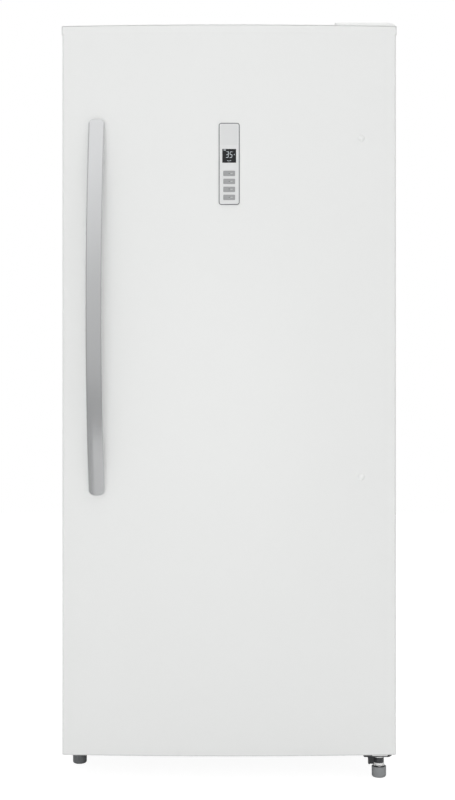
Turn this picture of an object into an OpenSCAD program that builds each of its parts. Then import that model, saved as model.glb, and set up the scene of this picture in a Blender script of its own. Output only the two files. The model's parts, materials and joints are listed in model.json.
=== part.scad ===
// Freezerless refrigerator: one tall door, glass shelves, two crispers, door bins,
// a forced-air evaporator behind a duct cover and a compressor deck at the back.
// Millimetres. +Z is up, the door faces -Y, the floor is z = 0.

/* [Cabinet] */
// Width of the cabinet over its steel sides
cabinet_w = 832; // [760:4:880]
// Height of the cabinet case above its base
cabinet_h = 1840; // [1700:10:1900]
// Depth of the cabinet case, front face to back edge
cabinet_d = 680; // [640:5:720]
// Height of the cabinet's underside above the floor
base_z = 48; // [46:1:56]
// Thickness of the insulated side walls
side_wall = 52; // [46:1:60]
// Thickness of the insulated top
top_wall = 56; // [48:1:66]
// Thickness of the insulated floor
floor_wall = 62; // [56:1:72]
// Thickness of the insulated back
back_wall = 55; // [48:1:62]
// Thickness of the painted steel sheets
sheet_t = 1; // [0.8:0.1:1.4]
// Thickness of the moulded liners
liner_t = 2.5; // [2:0.5:3]
// Bend radius of the case's two top corners
case_r = 6; // [3:1:9]
// Width of the liner's flange round the food compartment
liner_flange = 8; // [6:1:10]

/* [Machine compartment] */
// Height of the compressor compartment
machine_h = 250; // [235:5:270]
// Depth of the compressor compartment
machine_d = 205; // [200:1:215]
// Insulation between the food and compressor compartments
machine_wall = 45; // [38:1:52]
// Thickness of the base pan
base_t = 2; // [1.5:0.5:2.5]
// Outer diameter of the compressor shell
compressor_dia = 148; // [130:2:150]
// Height of the compressor shell
compressor_h = 168; // [150:2:172]

/* [Door] */
// How far the door stands out past each side of the cabinet
door_overhang = 2; // [0:0.5:3]
// How far the door's top lies below the cabinet's top
door_drop = 2; // [2:0.5:6]
// How far the door's bottom lies above the cabinet's underside
door_lift = 14; // [12:1:20]
// Thickness of the door at its sides
door_t = 68; // [64:1:74]
// Rise of the bowed front at the middle of the door
door_bulge = 14; // [8:1:18]
// Radius of the door's front vertical edges
door_r = 6; // [4:1:9]
// Bevel of the door's back vertical edges, which clears the case
door_bevel = 15; // [15:1:18]
// Gap between door and case, filled by the gasket
door_gap = 14; // [13.5:0.5:16]
// Height of the moulded caps at the door's ends
cap_h = 20; // [19:1:26]
// How far the top cap stands out past the steel skin
cap_rim = 2; // [1:0.5:2.5]
// How far the top cap stands out past the skin's bowed front
cap_proud = 0.4; // [0.2:0.1:2]
// Width of the door gasket
gasket_w = 14; // [11:1:14]

/* [Handle] */
// Distance of the handle and the hole plugs from the door's middle
handle_x = 330; // [320:1:340]
// Height of the handle's middle above the floor
handle_z = 1181; // [1100:1:1250]
// Length of the handle
handle_len = 941; // [900:5:1000]
// Width of the handle
handle_w = 40; // [32:1:44]
// Thickness of the bow
handle_t = 15; // [12:1:18]
// Outer face of the bow above the door, at its middle
handle_reach = 62; // [56:1:68]
// Outer face of the bow above the door, at its ends
handle_end_reach = 11; // [9:1:24]
// Distance from each end of the handle to its screw
handle_screw_in = 47.5; // [42:0.5:56]
// Diameter of the handle's studs
stud_dia = 8; // [6:1:9]
// Diameter of the round plugs in the spare handle holes
plug_dia = 17; // [15:1:20]

/* [Control panel] */
// Width of the control panel
panel_w = 52; // [48:1:58]
// Height of the control panel
panel_h = 204; // [200:1:214]
// Height of the panel's middle above the floor
panel_z = 1538; // [1480:2:1560]
// Side of the square display window
display_s = 34.5; // [30:0.5:38]
// Height of the display's middle above the panel's middle
display_up = 20; // [16:1:24]
// Width of one key
key_w = 29.2; // [24:0.2:32]
// Height of one key
key_h = 12.7; // [10:0.1:14]
// Distance from one key to the next
key_pitch = 19.9; // [18.5:0.1:20.5]
// Travel of a key
key_travel = 0.8; // [0.5:0.1:1]

/* [Shelves] */
// Thickness of the shelf glass
glass_t = 4; // [3:0.5:5]
// Height of a shelf's plastic frame
shelf_frame_h = 18; // [14:1:22]
// Gap between the shelves' back edge and the duct cover
shelf_rear_gap = 13; // [8:1:30]
// Distance from the cabinet's front face to the shelves
shelf_setback = 112; // [108:1:116]
// Height of the crisper cover above the food compartment's floor
crisper_cover_up = 268; // [262:1:274]
// Distance from one shelf to the next
shelf_pitch = 287; // [270:1:294]
// How far the side ledges stand out of the liner
ledge_w = 12; // [9:1:14]

/* [Crispers] */
// Height of a crisper
crisper_h = 242; // [220:2:244]
// Gap between the crispers and the step over the compressor
crisper_rear_gap = 16; // [12:1:40]
// Wall thickness of crispers and bins
bin_t = 2.5; // [2:0.5:3]

/* [Door bins] */
// Depth of a door bin
bin_d = 106; // [90:2:108]
// Height of a door bin
bin_h = 96; // [84:2:110]
// Height of the lowest bin above the floor
bin_z = 452; // [446:1:470]
// Distance from one bin to the next
bin_pitch = 262; // [250:2:266]
// Depth of the raised ribs of the door's liner
dyke_d = 34; // [28:1:36]
// Width of the raised ribs of the door's liner
dyke_w = 30; // [26:1:32]

/* [Hinges] */
// Distance of the hinge axis from the door's side
hinge_in = 40; // [38:1:41]
// Distance of the hinge axis behind the door's front edge
hinge_back = 28; // [26:1:30]
// Diameter of the top hinge pin
top_pin_dia = 10; // [8:0.5:12]
// Diameter of the bottom hinge pin
bottom_pin_dia = 12; // [10:0.5:12]
// Thickness of the hinge plates
plate_t = 3; // [2.5:0.5:3]
// Length of the top hinge's cover
cover_w = 148; // [140:1:160]
// Height of the top hinge's cover above the case
cover_h = 31; // [28:1:34]

/* [Feet and rollers] */
// Diameter of a levelling foot
foot_dia = 36.5; // [30:0.5:38]
// Height of a levelling foot's head
foot_h = 27; // [22:1:28]
// Diameter of a levelling foot's threaded stem
stem_dia = 12; // [10:1:12]
// Distance of the left foot from the cabinet's side
foot_in = 25; // [22:1:30]
// Distance of the left foot behind the cabinet's front face
foot_back = 67; // [50:1:90]
// Diameter of a back roller
roller_dia = 44; // [38:1:44]
// Width of a back roller
roller_w = 22; // [18:1:28]
// Diameter of the rollers' axles
axle_dia = 8; // [6:1:10]

/* [Fits] */
// Radial clearance of pins and shafts that turn
pin_fit = 0.1; // [0.05:0.01:0.1]
// Gap between pieces that slide or lift past each other
slide_fit = 0.3; // [0.3:0.1:0.6]

/* [Hidden] */
eps = 0.5;
half_w = cabinet_w / 2;
case_front = door_t + door_gap;
case_back = case_front + cabinet_d;
case_top = base_z + cabinet_h;
in_half = half_w - side_wall;
in_floor = base_z + floor_wall;
in_top = case_top - top_wall;
in_back = case_back - back_wall;
machine_front = case_back - machine_d;
machine_top = base_z + machine_h;
step_y = machine_front - machine_wall;
step_z = machine_top + machine_wall;

door_half = half_w + door_overhang;
door_z0 = base_z + door_lift;
door_z1 = case_top - door_drop;
door_curve = (pow(door_half, 2) + pow(door_bulge, 2)) / (2 * door_bulge);
hinge_x = door_half - hinge_in;
cap_lip = 2.5;
cap_wall = 3;
return_w = 16;

gasket_half = hinge_x + 2;
gasket_z0 = in_floor - gasket_w - 4;
gasket_z1 = in_top + gasket_w + 4;

dyke_half = in_half - 12;
dyke_z0 = in_floor + crisper_cover_up + 20;
dyke_z1 = in_top - 26;
bin_half = dyke_half - dyke_w - 2;
bin_y = door_t + 2;
ear_w = 8;
lug_w = 6;
lug_h = 12;
lug_up = 20;

shelf_y0 = case_front + shelf_setback;
shelf_half = in_half - 1.5;
cover_z = in_floor + crisper_cover_up;
ledge_h = 8;
rib_h = 3;
crisper_y0 = shelf_y0 + 2;
crisper_d = step_y - crisper_rear_gap - crisper_y0;
crisper_z0 = in_floor + rib_h + slide_fit;
crisper_gap = 6;

duct_d = 60;
duct_h = 340;
duct_y = in_back - duct_d;
duct_half = in_half - 64;
duct_z0 = step_z + 62;
duct_mid = duct_z0 + duct_h;
shelf_d = duct_y - shelf_rear_gap - shelf_y0;
evaporator_half = duct_half - 50;
evaporator_h = 190;
evaporator_d = 44;
tower_half = 95;
duct_t = 3;
fan_z = duct_mid - 62;
fan_dia = 104;

lamp_back = 70;
lamp_d = 66;
lamp_half = 90;
lamp_drop = 14;
lamp_t = 2.5;

handle_half = handle_len / 2;
bow_rise = handle_reach - handle_end_reach;
bow_curve = (pow(handle_half, 2) + pow(bow_rise, 2)) / (2 * bow_rise);
screw_dz = handle_half - handle_screw_in;
tilt = asin(handle_x / door_curve);
panel_t = 2;
panel_r = 6.5;
pocket_d = 18;
key_count = 4;
key_top = -23.6;

foot_y = case_front + foot_back;
nut_h = 18;
roller_x = half_w - 56;
roller_y = case_back - 62;
plate_top = door_z0 - 4.5;
cover_front = 9;
cover_t = 2.2;
plate_reach = 68;

// The origin lies midway between the bow's outermost point and the rear cover's face
grille_t = 4;
front_reach = (door_curve + handle_reach) * cos(tilt) - (door_curve - door_bulge) - 0.1;
back_reach = case_back + grille_t;
origin_y = (back_reach - front_reach) / 2;

steel_white = "#e6e7e6";
cap_white = "#dfe0df";
liner_white = "#f1f2f2";
foam_cream = "#e9dfb8";
dark_steel = "#3c3d3f";
zinc = "#b9bcbf";
clear_green = "#cfe3df";

// Depths below are measured back from the door's front edges, then moved to the origin
module in_frame() {
    translate([0, -origin_y, 0]) children();
}

// A block between three pairs of limits
module span(x, y, z) {
    translate([x[0], y[0], z[0]]) cube([x[1] - x[0], y[1] - y[0], z[1] - z[0]]);
}

// Extrudes an outline drawn in X and Z from depth a to depth b
module along_y(a, b) {
    translate([0, b, 0]) rotate([90, 0, 0]) linear_extrude(height = b - a) children();
}

// Extrudes an outline drawn in Y and Z from a to b across the width
module along_x(a, b) {
    translate([a, 0, 0]) rotate([90, 0, 90]) linear_extrude(height = b - a) children();
}

// Extrudes a plan outline from height a to height b
module along_z(a, b) {
    translate([0, 0, a]) linear_extrude(height = b - a) children();
}

function arc_points(c, r, a0, a1, n) =
    [for (i = [0:n]) c + r * [cos(a0 + (a1 - a0) * i / n), sin(a0 + (a1 - a0) * i / n)]];

// A rectangle from low corner a to high corner b with round corners
function round_points(a, b, r, n = 5) = concat(
    arc_points([b[0] - r, b[1] - r], r, 0, 90, n),
    arc_points([a[0] + r, b[1] - r], r, 90, 180, n),
    arc_points([a[0] + r, a[1] + r], r, 180, 270, n),
    arc_points([b[0] - r, a[1] + r], r, 270, 360, n));

module round_rect(a, b, r, n = 5) {
    polygon(round_points(a, b, r, n));
}

module both_sides() {
    children();
    mirror([1, 0, 0]) children();
}

// Cabinet

// Front view of the case, drawn in by an inset; its two top corners are bent
module case_outline(inset, low) {
    w = half_w - inset;
    r = case_r - inset;
    polygon(concat(
        arc_points([w - r, case_top - inset - r], r, 0, 90, 6),
        arc_points([r - w, case_top - inset - r], r, 90, 180, 6),
        [[-w, low], [w, low]]));
}

// Side view of the food compartment, with the step over the compressor
module cavity_outline(grow, front) {
    polygon([
        [front, in_floor - grow], [step_y + grow, in_floor - grow],
        [step_y + grow, step_z - grow], [in_back + grow, step_z - grow],
        [in_back + grow, in_top + grow], [front, in_top + grow]]);
}

module cavity(grow, front) {
    along_x(-in_half - grow, in_half + grow) cavity_outline(grow, front);
}

module outer_case() {
    in_frame() color(steel_white) {
        difference() {
            along_y(case_front, case_back) case_outline(0, base_z);
            along_y(case_front + sheet_t, case_back + eps) case_outline(sheet_t, base_z - eps);
            span([-in_half - liner_flange, in_half + liner_flange],
                [case_front - eps, case_front + 2 * sheet_t],
                [in_floor - liner_flange, in_top + liner_flange]);
        }
    }
}

module rear_panel() {
    rib_x = [-270, -90, 90, 270];
    in_frame() color(zinc) {
        along_y(case_back - sheet_t, case_back) intersection() {
            case_outline(sheet_t, machine_top);
            translate([-half_w, machine_top]) square([cabinet_w, cabinet_h]);
        }
        for (x = rib_x)
            along_y(case_back - sheet_t / 2, case_back + 2)
                round_rect([x - 9, machine_top + 80], [x + 9, case_top - 80], 8.9);
    }
}

module base_pan() {
    w = half_w - sheet_t;
    in_frame() color(zinc) {
        difference() {
            span([-w, w], [case_front + sheet_t, case_back], [base_z, base_z + base_t]);
            foot_hole(-foot_x(), foot_y);
            for (x = [-120:60:120])
                span([x - 18, x + 18], [machine_front + 60, machine_front + 66],
                    [base_z - eps, base_z + base_t + eps]);
        }
        span([-w, w], [machine_front, machine_front + base_t], [deck_z, machine_top]);
        span([-w, w], [machine_front + base_t, case_back], [machine_top - base_t, machine_top]);
        both_sides() span([w - base_t, w], [machine_front, case_back], [deck_z, machine_top]);
        translate([-foot_x(), foot_y, base_z + base_t]) stem_socket(10);
    }
}

function foot_x() = half_w - foot_in;

module foot_hole(x, y) {
    translate([x, y, base_z - eps]) cylinder(d = stem_dia + 2 * pin_fit, h = 40, $fn = 48);
}

// A welded hexagon nut for a levelling foot's stem
module stem_socket(h) {
    difference() {
        cylinder(d = stem_dia + 10, h = h, $fn = 6);
        translate([0, 0, -eps]) cylinder(d = stem_dia + 2 * pin_fit, h = h + 2 * eps, $fn = 48);
    }
}

module cabinet_foam() {
    nut = stem_dia + 14;
    in_frame() color(foam_cream) difference() {
        along_y(case_front + sheet_t, case_back - sheet_t)
            case_outline(sheet_t, base_z + base_t);
        cavity(liner_t, case_front);
        span([-half_w, half_w], [machine_front, case_back], [base_z, machine_top]);
        translate([-foot_x(), foot_y, base_z]) cylinder(d = nut, h = 16, $fn = 48);
    }
}

function shelf_z(i) = cover_z + i * shelf_pitch;

module inner_liner() {
    ledge_levels = [for (i = [0:0.5:4]) shelf_z(i)];
    in_frame() color(liner_white) {
        difference() {
            union() {
                cavity(liner_t, case_front + sheet_t);
                span([-in_half - liner_flange, in_half + liner_flange],
                    [case_front, case_front + sheet_t],
                    [in_floor - liner_flange, in_top + liner_flange]);
            }
            cavity(0, case_front - eps);
        }
        both_sides() for (z = ledge_levels)
            along_y(shelf_y0, duct_y - 4)
                polygon([[in_half + 1, z], [in_half + 1, z - ledge_h - ledge_w],
                    [in_half, z - ledge_h - ledge_w],
                    [in_half - ledge_w, z - ledge_h], [in_half - ledge_w, z]]);
        both_sides() for (x = [30, in_half - 40])
            span([x, x + 8], [crisper_y0, step_y - 4], [in_floor - 1, in_floor + rib_h]);
    }
}

// A moulded housing over the evaporator with a narrow riser that feeds each shelf
module air_duct_cover() {
    z1 = in_top - 40;
    in_frame() color(liner_white) difference() {
        union() {
            span([-duct_half, duct_half], [duct_y, in_back], [duct_z0, duct_mid]);
            along_x(-tower_half, tower_half) polygon([
                [duct_y + 14, duct_mid], [in_back, duct_mid], [in_back, z1],
                [duct_y + 30, z1], [duct_y + 14, z1 - 30]]);
        }
        span([duct_t - duct_half, duct_half - duct_t], [duct_y + duct_t, in_back + eps],
            [duct_z0 + duct_t, duct_mid - duct_t]);
        span([duct_t - tower_half, tower_half - duct_t], [duct_y + 14 + duct_t, in_back + eps],
            [duct_mid - 2 * duct_t, z1 - 34]);
        for (i = [2:4], s = [-1, 1], k = [0:3])
            translate([s * 48, 0, shelf_z(i) + 96 + 14 * k])
                along_y(duct_y, duct_y + 30) round_rect([-32, -3], [32, 3], 2.9, 3);
        for (k = [0:4], s = [-1, 1])
            translate([s * 175, 0, duct_z0 + 34 + 14 * k])
                along_y(duct_y - eps, duct_y + 10) round_rect([-90, -3], [90, 3], 2.9, 3);
    }
}

// Plate fins on a tube that runs to and fro, with its bends outside the end plates
module fin_coil(w, d, h, fins, rows) {
    tube = 8;
    pitch = h / rows;
    difference() {
        union() {
            for (i = [0:fins - 1])
                translate([-w / 2 + i * (w - 1.2) / (fins - 1), -d / 2, 0]) cube([1.2, d, h]);
            for (k = [0:rows - 1])
                translate([-w / 2 - 4, 0, pitch * (k + 0.5)]) rotate([0, 90, 0])
                    cylinder(d = tube, h = w + 8, $fn = 24);
        }
    }
    for (k = [0:rows - 2]) {
        side = k % 2 == 0 ? 1 : -1;
        translate([side * (w / 2 + 4), 0, pitch * (k + 1)]) rotate([90, 0, 0])
            rotate([0, 0, side == 1 ? -90 : 90]) rotate_extrude(angle = 180, $fn = 48)
                translate([pitch / 2, 0]) circle(d = tube, $fn = 24);
    }
}

module evaporator() {
    h = evaporator_h;
    d = evaporator_d;
    z = duct_z0 + 24;
    pad_x = evaporator_half - 50;
    in_frame() color("silver") {
        translate([0, in_back - d / 2 - 2, z]) fin_coil(2 * evaporator_half, d, h, 22, 5);
        for (s = [-1, 1])
            span([s * pad_x - 12, s * pad_x + 12], [in_back - 2, in_back],
                [z + 20, z + h - 20]);
    }
}

// A motor on a three-armed spider, bolted to the liner's back wall
module evaporator_fan_motor() {
    in_frame() color(dark_steel) translate([0, in_back, fan_z]) rotate([90, 0, 0]) {
        for (a = [90, 210, 330]) rotate([0, 0, a]) {
            translate([0, -6, 0]) cube([58, 12, 3]);
            translate([50, 0, 0]) cylinder(d = 12, h = 6, $fn = 24);
        }
        cylinder(d = 40, h = 24, $fn = 48);
        cylinder(d = 5, h = 40, $fn = 32);
    }
}

// An axial fan: a hub with a bore and pitched blades trimmed to the tip circle
module fan_wheel(dia, hub, w, blades, shaft) {
    difference() {
        union() {
            cylinder(d = hub, h = w, $fn = 48);
            intersection() {
                cylinder(d = dia, h = w, $fn = 96);
                for (i = [0:blades - 1]) rotate([0, 0, i * 360 / blades])
                    translate([hub / 2 - 2, 0, w / 2]) rotate([32, 0, 0])
                        translate([0, -w * 1.2, -1]) cube([dia / 2, w * 2.4, 2]);
            }
        }
        translate([0, 0, -eps]) cylinder(d = shaft, h = w - 3 + eps, $fn = 32);
    }
}

module evaporator_fan() {
    in_frame() color("white") translate([0, in_back - 26, fan_z]) rotate([90, 0, 0])
        fan_wheel(fan_dia, 36, 18, 5, 5 + 2 * pin_fit);
}

// A shallow dish under the ceiling with sloped long sides
module lamp_lens() {
    y0 = case_front + lamp_back;
    y1 = y0 + lamp_d;
    low = in_top - lamp_drop;
    in_frame() color("#f6f6f2") difference() {
        along_x(-lamp_half, lamp_half)
            polygon([[y0, in_top], [y0 + 8, low], [y1 - 8, low], [y1, in_top]]);
        span([lamp_t - lamp_half, lamp_half - lamp_t], [y0 + 8 + lamp_t, y1 - 8 - lamp_t],
            [low + lamp_t, in_top + eps]);
    }
}

module shelf_glass(z) {
    in_frame() color(clear_green, 0.5)
        along_z(z + shelf_frame_h - glass_t - 1, z + shelf_frame_h - 1)
            round_rect([4 - shelf_half, shelf_y0 + 4],
                [shelf_half - 4, shelf_y0 + shelf_d - 4], 6, 3);
}

// An open frame that holds the glass in a groove on all four sides
module shelf_frame(z) {
    rim = 16;
    top = z + shelf_frame_h;
    in_frame() color("#f3f4f4") difference() {
        union() {
            along_x(-shelf_half, shelf_half) polygon([
                [shelf_y0, z + 4], [shelf_y0 + 5, z], [shelf_y0 + 22, z],
                [shelf_y0 + 22, top], [shelf_y0 + 3, top], [shelf_y0, top - 3]]);
            span([-shelf_half, shelf_half], [shelf_y0 + 20, shelf_y0 + shelf_d], [z, top]);
        }
        span([rim - shelf_half, shelf_half - rim],
            [shelf_y0 + 26, shelf_y0 + shelf_d - rim], [z - eps, top + eps]);
        along_z(top - glass_t - 1, top - 1)
            round_rect([4 - shelf_half, shelf_y0 + 4],
                [shelf_half - 4, shelf_y0 + shelf_d - 4], 6, 3);
    }
}

module shelf_glass_1() { shelf_glass(shelf_z(1)); }
module shelf_glass_2() { shelf_glass(shelf_z(2)); }
module shelf_glass_3() { shelf_glass(shelf_z(3)); }
module shelf_glass_4() { shelf_glass(shelf_z(4)); }
module shelf_frame_1() { shelf_frame(shelf_z(1)); }
module shelf_frame_2() { shelf_frame(shelf_z(2)); }
module shelf_frame_3() { shelf_frame(shelf_z(3)); }
module shelf_frame_4() { shelf_frame(shelf_z(4)); }
module crisper_cover_glass() { shelf_glass(shelf_z(0)); }

// The crisper cover is a shelf with a middle post that parts the two crispers
module crisper_cover_frame() {
    shelf_frame(cover_z);
    in_frame() color("#f3f4f4")
        span([-2, 2], [crisper_y0 + 10, crisper_y0 + crisper_d - 2],
            [in_floor, cover_z + 1]);
}

// An open drawer with a drawn-in bottom and a grip lip along its front
module crisper(side) {
    w = in_half - crisper_gap - 4;
    x0 = crisper_gap;
    z1 = crisper_z0 + crisper_h;
    y1 = crisper_y0 + crisper_d;
    in_frame() color("#e4ecee", 0.6) scale_side(side) difference() {
        union() {
            span([x0, x0 + w], [crisper_y0, y1], [crisper_z0, z1]);
            along_x(x0 + 20, x0 + w - 20) polygon([
                [crisper_y0, z1 - 34], [crisper_y0 - 16, z1 - 22],
                [crisper_y0 - 16, z1 - 18], [crisper_y0, z1 - 18]]);
        }
        span([x0 + bin_t, x0 + w - bin_t], [crisper_y0 + 2 * bin_t, y1 - bin_t],
            [crisper_z0 + bin_t, z1 + eps]);
    }
}

module scale_side(side) {
    if (side < 0) mirror([1, 0, 0]) children();
    else children();
}

module crisper_left() { crisper(-1); }
module crisper_right() { crisper(1); }

// Hinges

module top_hinge_bracket() {
    in_frame() color(zinc) difference() {
        along_z(case_top, case_top + plate_t) union() {
            translate([hinge_x, hinge_back]) circle(r = 15, $fn = 64);
            polygon([[hinge_x - 15, hinge_back], [hinge_x + 15, hinge_back],
                [hinge_x + 20, case_front + 16], [hinge_x + 20, case_front + plate_reach],
                [hinge_x - 60, case_front + plate_reach], [hinge_x - 60, case_front + 22],
                [hinge_x - 26, case_front + 6]]);
        }
        translate([hinge_x, hinge_back, case_top - eps])
            cylinder(d = top_pin_dia, h = plate_t + 2 * eps, $fn = 64);
        for (p = [[-44, 34], [-44, 58], [8, 50]])
            translate([hinge_x + p[0], case_front + p[1], case_top - eps])
                cylinder(d = 7, h = plate_t + 2 * eps, $fn = 32);
    }
}

module top_hinge_pin() {
    in_frame() color(zinc) translate([hinge_x, hinge_back, door_z1 - cap_h + 4])
        cylinder(d = top_pin_dia, h = case_top + plate_t - door_z1 + cap_h - 4, $fn = 64);
}

// A hollow cover that climbs from the door's front edge to the top of the case
module hinge_cover() {
    x1 = half_w + 3;
    x0 = x1 - cover_w;
    low = door_z1 + 1;
    back = case_front + plate_reach + 8;
    roof = case_top + cover_h;
    in_frame() color(cap_white) difference() {
        intersection() {
            along_x(x0, x1) polygon([
                [cover_front, low], [case_front + 2, low], [case_front + 2, case_top],
                [back, case_top], [back, roof - 8], [back - 6, roof],
                [case_front, roof], [cover_front + 6, roof - 22], [cover_front, roof - 27]]);
            along_y(cover_front - eps, back + eps) polygon([
                [x0, low - eps], [x1, low - eps], [x1, low + 1], [x1 - 9, low + 10],
                [x1 - 14, roof + eps], [x0 + 1.5, roof + eps], [x0, roof - 1.5]]);
        }
        intersection() {
            along_x(x0 + cover_t, x1 - cover_t) polygon([
                [cover_front + cover_t, low - eps], [back - cover_t, low - eps],
                [back - cover_t, roof - 9], [back - 7, roof - cover_t],
                [case_front, roof - cover_t], [cover_front + 7, roof - 24.3],
                [cover_front + cover_t, roof - 27.6]]);
            along_y(cover_front, back) polygon([
                [x0 + cover_t, low - 2], [x1 - 3.2, low - 2], [x1 - 3.2, low + 1],
                [x1 - 12.2, low + 10], [x1 - 16.6, roof], [x0 + cover_t, roof]]);
        }
    }
}

// A folded bracket on the case's front: shelf, upright, side leg and a welded nut
module bottom_hinge_bracket() {
    x0 = hinge_x - 40;
    x1 = hinge_x + 31;
    leg_x = hinge_x - 27;
    z0 = plate_top - plate_t;
    front = hinge_back - 22;
    wall_d = hinge_back + 1;
    low = foot_h + 4;
    washer_t = 4;
    up = gasket_z0 - 4;
    in_frame() color(dark_steel) difference() {
        union() {
            along_z(z0, plate_top) polygon([
                [x0, front + 2], [x0 + 2, front], [x1 - 9, front], [x1, front + 13],
                [x1, case_front], [x0, case_front]]);
            along_y(case_front - plate_t, case_front)
                polygon([[x0, z0], [x1, z0], [x1, up - 8], [x1 - 8, up],
                    [x0 + 8, up], [x0, up - 8]]);
            along_x(leg_x, leg_x + plate_t) polygon(concat(
                [[wall_d + plate_t, z0 + eps], [front + 6, z0 + eps]],
                arc_points([front + 14, low + 10], 8, 180, 250, 5),
                [[wall_d + plate_t, low + 1]]));
            along_y(wall_d, wall_d + plate_t) polygon(concat(
                [[hinge_x - stem_dia / 2 - 2, z0 + eps], [leg_x, z0 + eps]],
                arc_points([leg_x + 7, low + 7], 7, 180, 270, 5),
                [[hinge_x - stem_dia / 2 - 2, low]]));
            along_x(leg_x, leg_x + plate_t) polygon([
                [case_front, z0 + eps], [wall_d, z0 + eps],
                [wall_d, z0 - 12], [case_front, z0 - 4]]);
            translate([hinge_x, hinge_back, z0 - nut_h])
                cylinder(d = stem_dia + 13, h = nut_h + eps, $fn = 6);
            translate([hinge_x, hinge_back, z0 - washer_t])
                cylinder(d = stem_dia + 14.5, h = washer_t + eps, $fn = 64);
        }
        translate([hinge_x, hinge_back, z0 - nut_h - eps])
            cylinder(d = stem_dia + 2 * pin_fit, h = nut_h + eps, $fn = 64);
        translate([hinge_x, hinge_back, z0 - eps])
            cylinder(d = bottom_pin_dia, h = plate_t + 2 * eps, $fn = 64);
        for (x = [x0 + 14, x1 - 14])
            translate([x, case_front + eps, up - 14]) rotate([90, 0, 0])
                cylinder(d = 6, h = plate_t + 2 * eps, $fn = 32);
    }
}

module bottom_hinge_pin() {
    in_frame() color(zinc) translate([hinge_x, hinge_back, plate_top - plate_t])
        cylinder(d = bottom_pin_dia, h = plate_t + 4.5 + 15, $fn = 64);
}

// Feet and rollers

// A moulded foot with a dished top and a round lower edge, on a threaded stem
module foot(stem_h) {
    r = foot_dia / 2;
    rotate_extrude($fn = 96) polygon(concat(
        [[0, 0], [r - 6, 0]],
        arc_points([r - 4.5, 4.5], 4.5, -80, 0, 5),
        [[r, foot_h - 2], [r - 1, foot_h], [r - 4, foot_h], [r - 5, foot_h - 4],
            [stem_dia / 2 + 4, foot_h - 4], [stem_dia / 2 + 4, foot_h - 1],
            [0, foot_h - 1]]));
    translate([0, 0, foot_h - 2]) cylinder(d = stem_dia, h = stem_h - foot_h + 2, $fn = 64);
}

module right_foot() {
    in_frame() color("#8a8c8e") translate([hinge_x, hinge_back, 0])
        foot(plate_top - plate_t - slide_fit);
}

module left_foot() {
    in_frame() color("#8a8c8e") translate([-foot_x(), foot_y, 0]) foot(base_z + base_t + 9);
}

module roller(x) {
    in_frame() color("#2c2d2e") translate([x, roller_y, roller_dia / 2]) rotate([0, 90, 0])
        translate([0, 0, -roller_w / 2]) difference() {
            rotate_extrude($fn = 96) polygon([
                [0, 0], [roller_dia / 2 - 7, 0], [roller_dia / 2 - 6, 2],
                [roller_dia / 2 - 1.5, 2], [roller_dia / 2, 4],
                [roller_dia / 2, roller_w - 4], [roller_dia / 2 - 1.5, roller_w - 2],
                [roller_dia / 2 - 6, roller_w - 2], [roller_dia / 2 - 7, roller_w],
                [0, roller_w]]);
            translate([0, 0, -eps])
                cylinder(d = axle_dia + 2 * pin_fit, h = roller_w + 2 * eps, $fn = 64);
        }
}

module roller_left() { roller(-roller_x); }
module roller_right() { roller(roller_x); }

// Two folded yokes under the base pan, each with its riveted axle
module roller_brackets() {
    gap = roller_w / 2 + slide_fit;
    t = 2.5;
    z = roller_dia / 2;
    in_frame() color(zinc) for (x = [-roller_x, roller_x]) {
        for (s = [-1, 1])
            along_x(s > 0 ? x + gap : x - gap - t, s > 0 ? x + gap + t : x - gap)
                polygon(concat([[roller_y + 30, base_z], [roller_y - 30, base_z]],
                    arc_points([roller_y, z], 12, 200, 340, 8)));
        translate([x - gap - t - 2, roller_y, z]) rotate([0, 90, 0])
            cylinder(d = axle_dia, h = 2 * (gap + t + 2), $fn = 64);
    }
}

// Machine compartment

deck_z = base_z + base_t;
compressor_x = 226 - half_w;
compressor_y = machine_front + 103;
grommet_h = 14;

// A hermetic compressor: two drawn steel shells welded at a flange, feet and pipes
module compressor() {
    r = compressor_dia / 2;
    z = deck_z + grommet_h;
    h = compressor_h;
    in_frame() color("#1f2022") translate([compressor_x, compressor_y, z]) difference() {
        union() {
            rotate_extrude($fn = 96) polygon(concat(
                [[0, 0]], arc_points([r - 22, 22], 20, -90, 0, 6),
                [[r - 2, h * 0.55], [r + 3, h * 0.55], [r + 3, h * 0.55 + 5], [r, h * 0.55 + 5]],
                arc_points([r - 34, h - 34], 34, 0, 90, 8), [[0, h]]));
            along_z(0, 3) round_rect([-92, -60], [92, 60], 10);
            translate([r - 6, -18, 60]) cube([26, 42, 52]);
            translate([-r + 8, 30, h * 0.55]) cylinder(d = 8, h = 70, $fn = 24);
            translate([20, -r + 10, h * 0.6]) cylinder(d = 8, h = 60, $fn = 24);
        }
        for (x = [-80, 80], y = [-48, 48])
            translate([x, y, -eps]) cylinder(d = 12, h = 4, $fn = 32);
    }
}

module compressor_grommets() {
    in_frame() color("#141414") for (x = [-80, 80], y = [-48, 48])
        translate([compressor_x + x, compressor_y + y, deck_z]) rotate_extrude($fn = 48)
            polygon([[3, 0], [11, 0], [11, 5], [8, 7], [11, 9], [11, grommet_h],
                [6, grommet_h], [6, grommet_h + 3], [9, grommet_h + 3],
                [9, grommet_h + 7], [3, grommet_h + 7]]);
}

condenser_x = half_w - 116;
condenser_y = machine_front + 105;
condenser_l = 150;
condenser_w = 120;
condenser_h = 165;

module condenser() {
    x0 = condenser_x - condenser_w / 2;
    foot = condenser_l / 2 - 1;
    in_frame() color("#2a2b2d") {
        translate([condenser_x, condenser_y, deck_z + 12]) rotate([0, 0, 90])
            fin_coil(condenser_l, condenser_w, condenser_h, 18, 6);
        for (y = [condenser_y - foot, condenser_y + foot])
            span([x0, x0 + condenser_w], [y - 2, y + 2], [deck_z, deck_z + 14]);
    }
}

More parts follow.
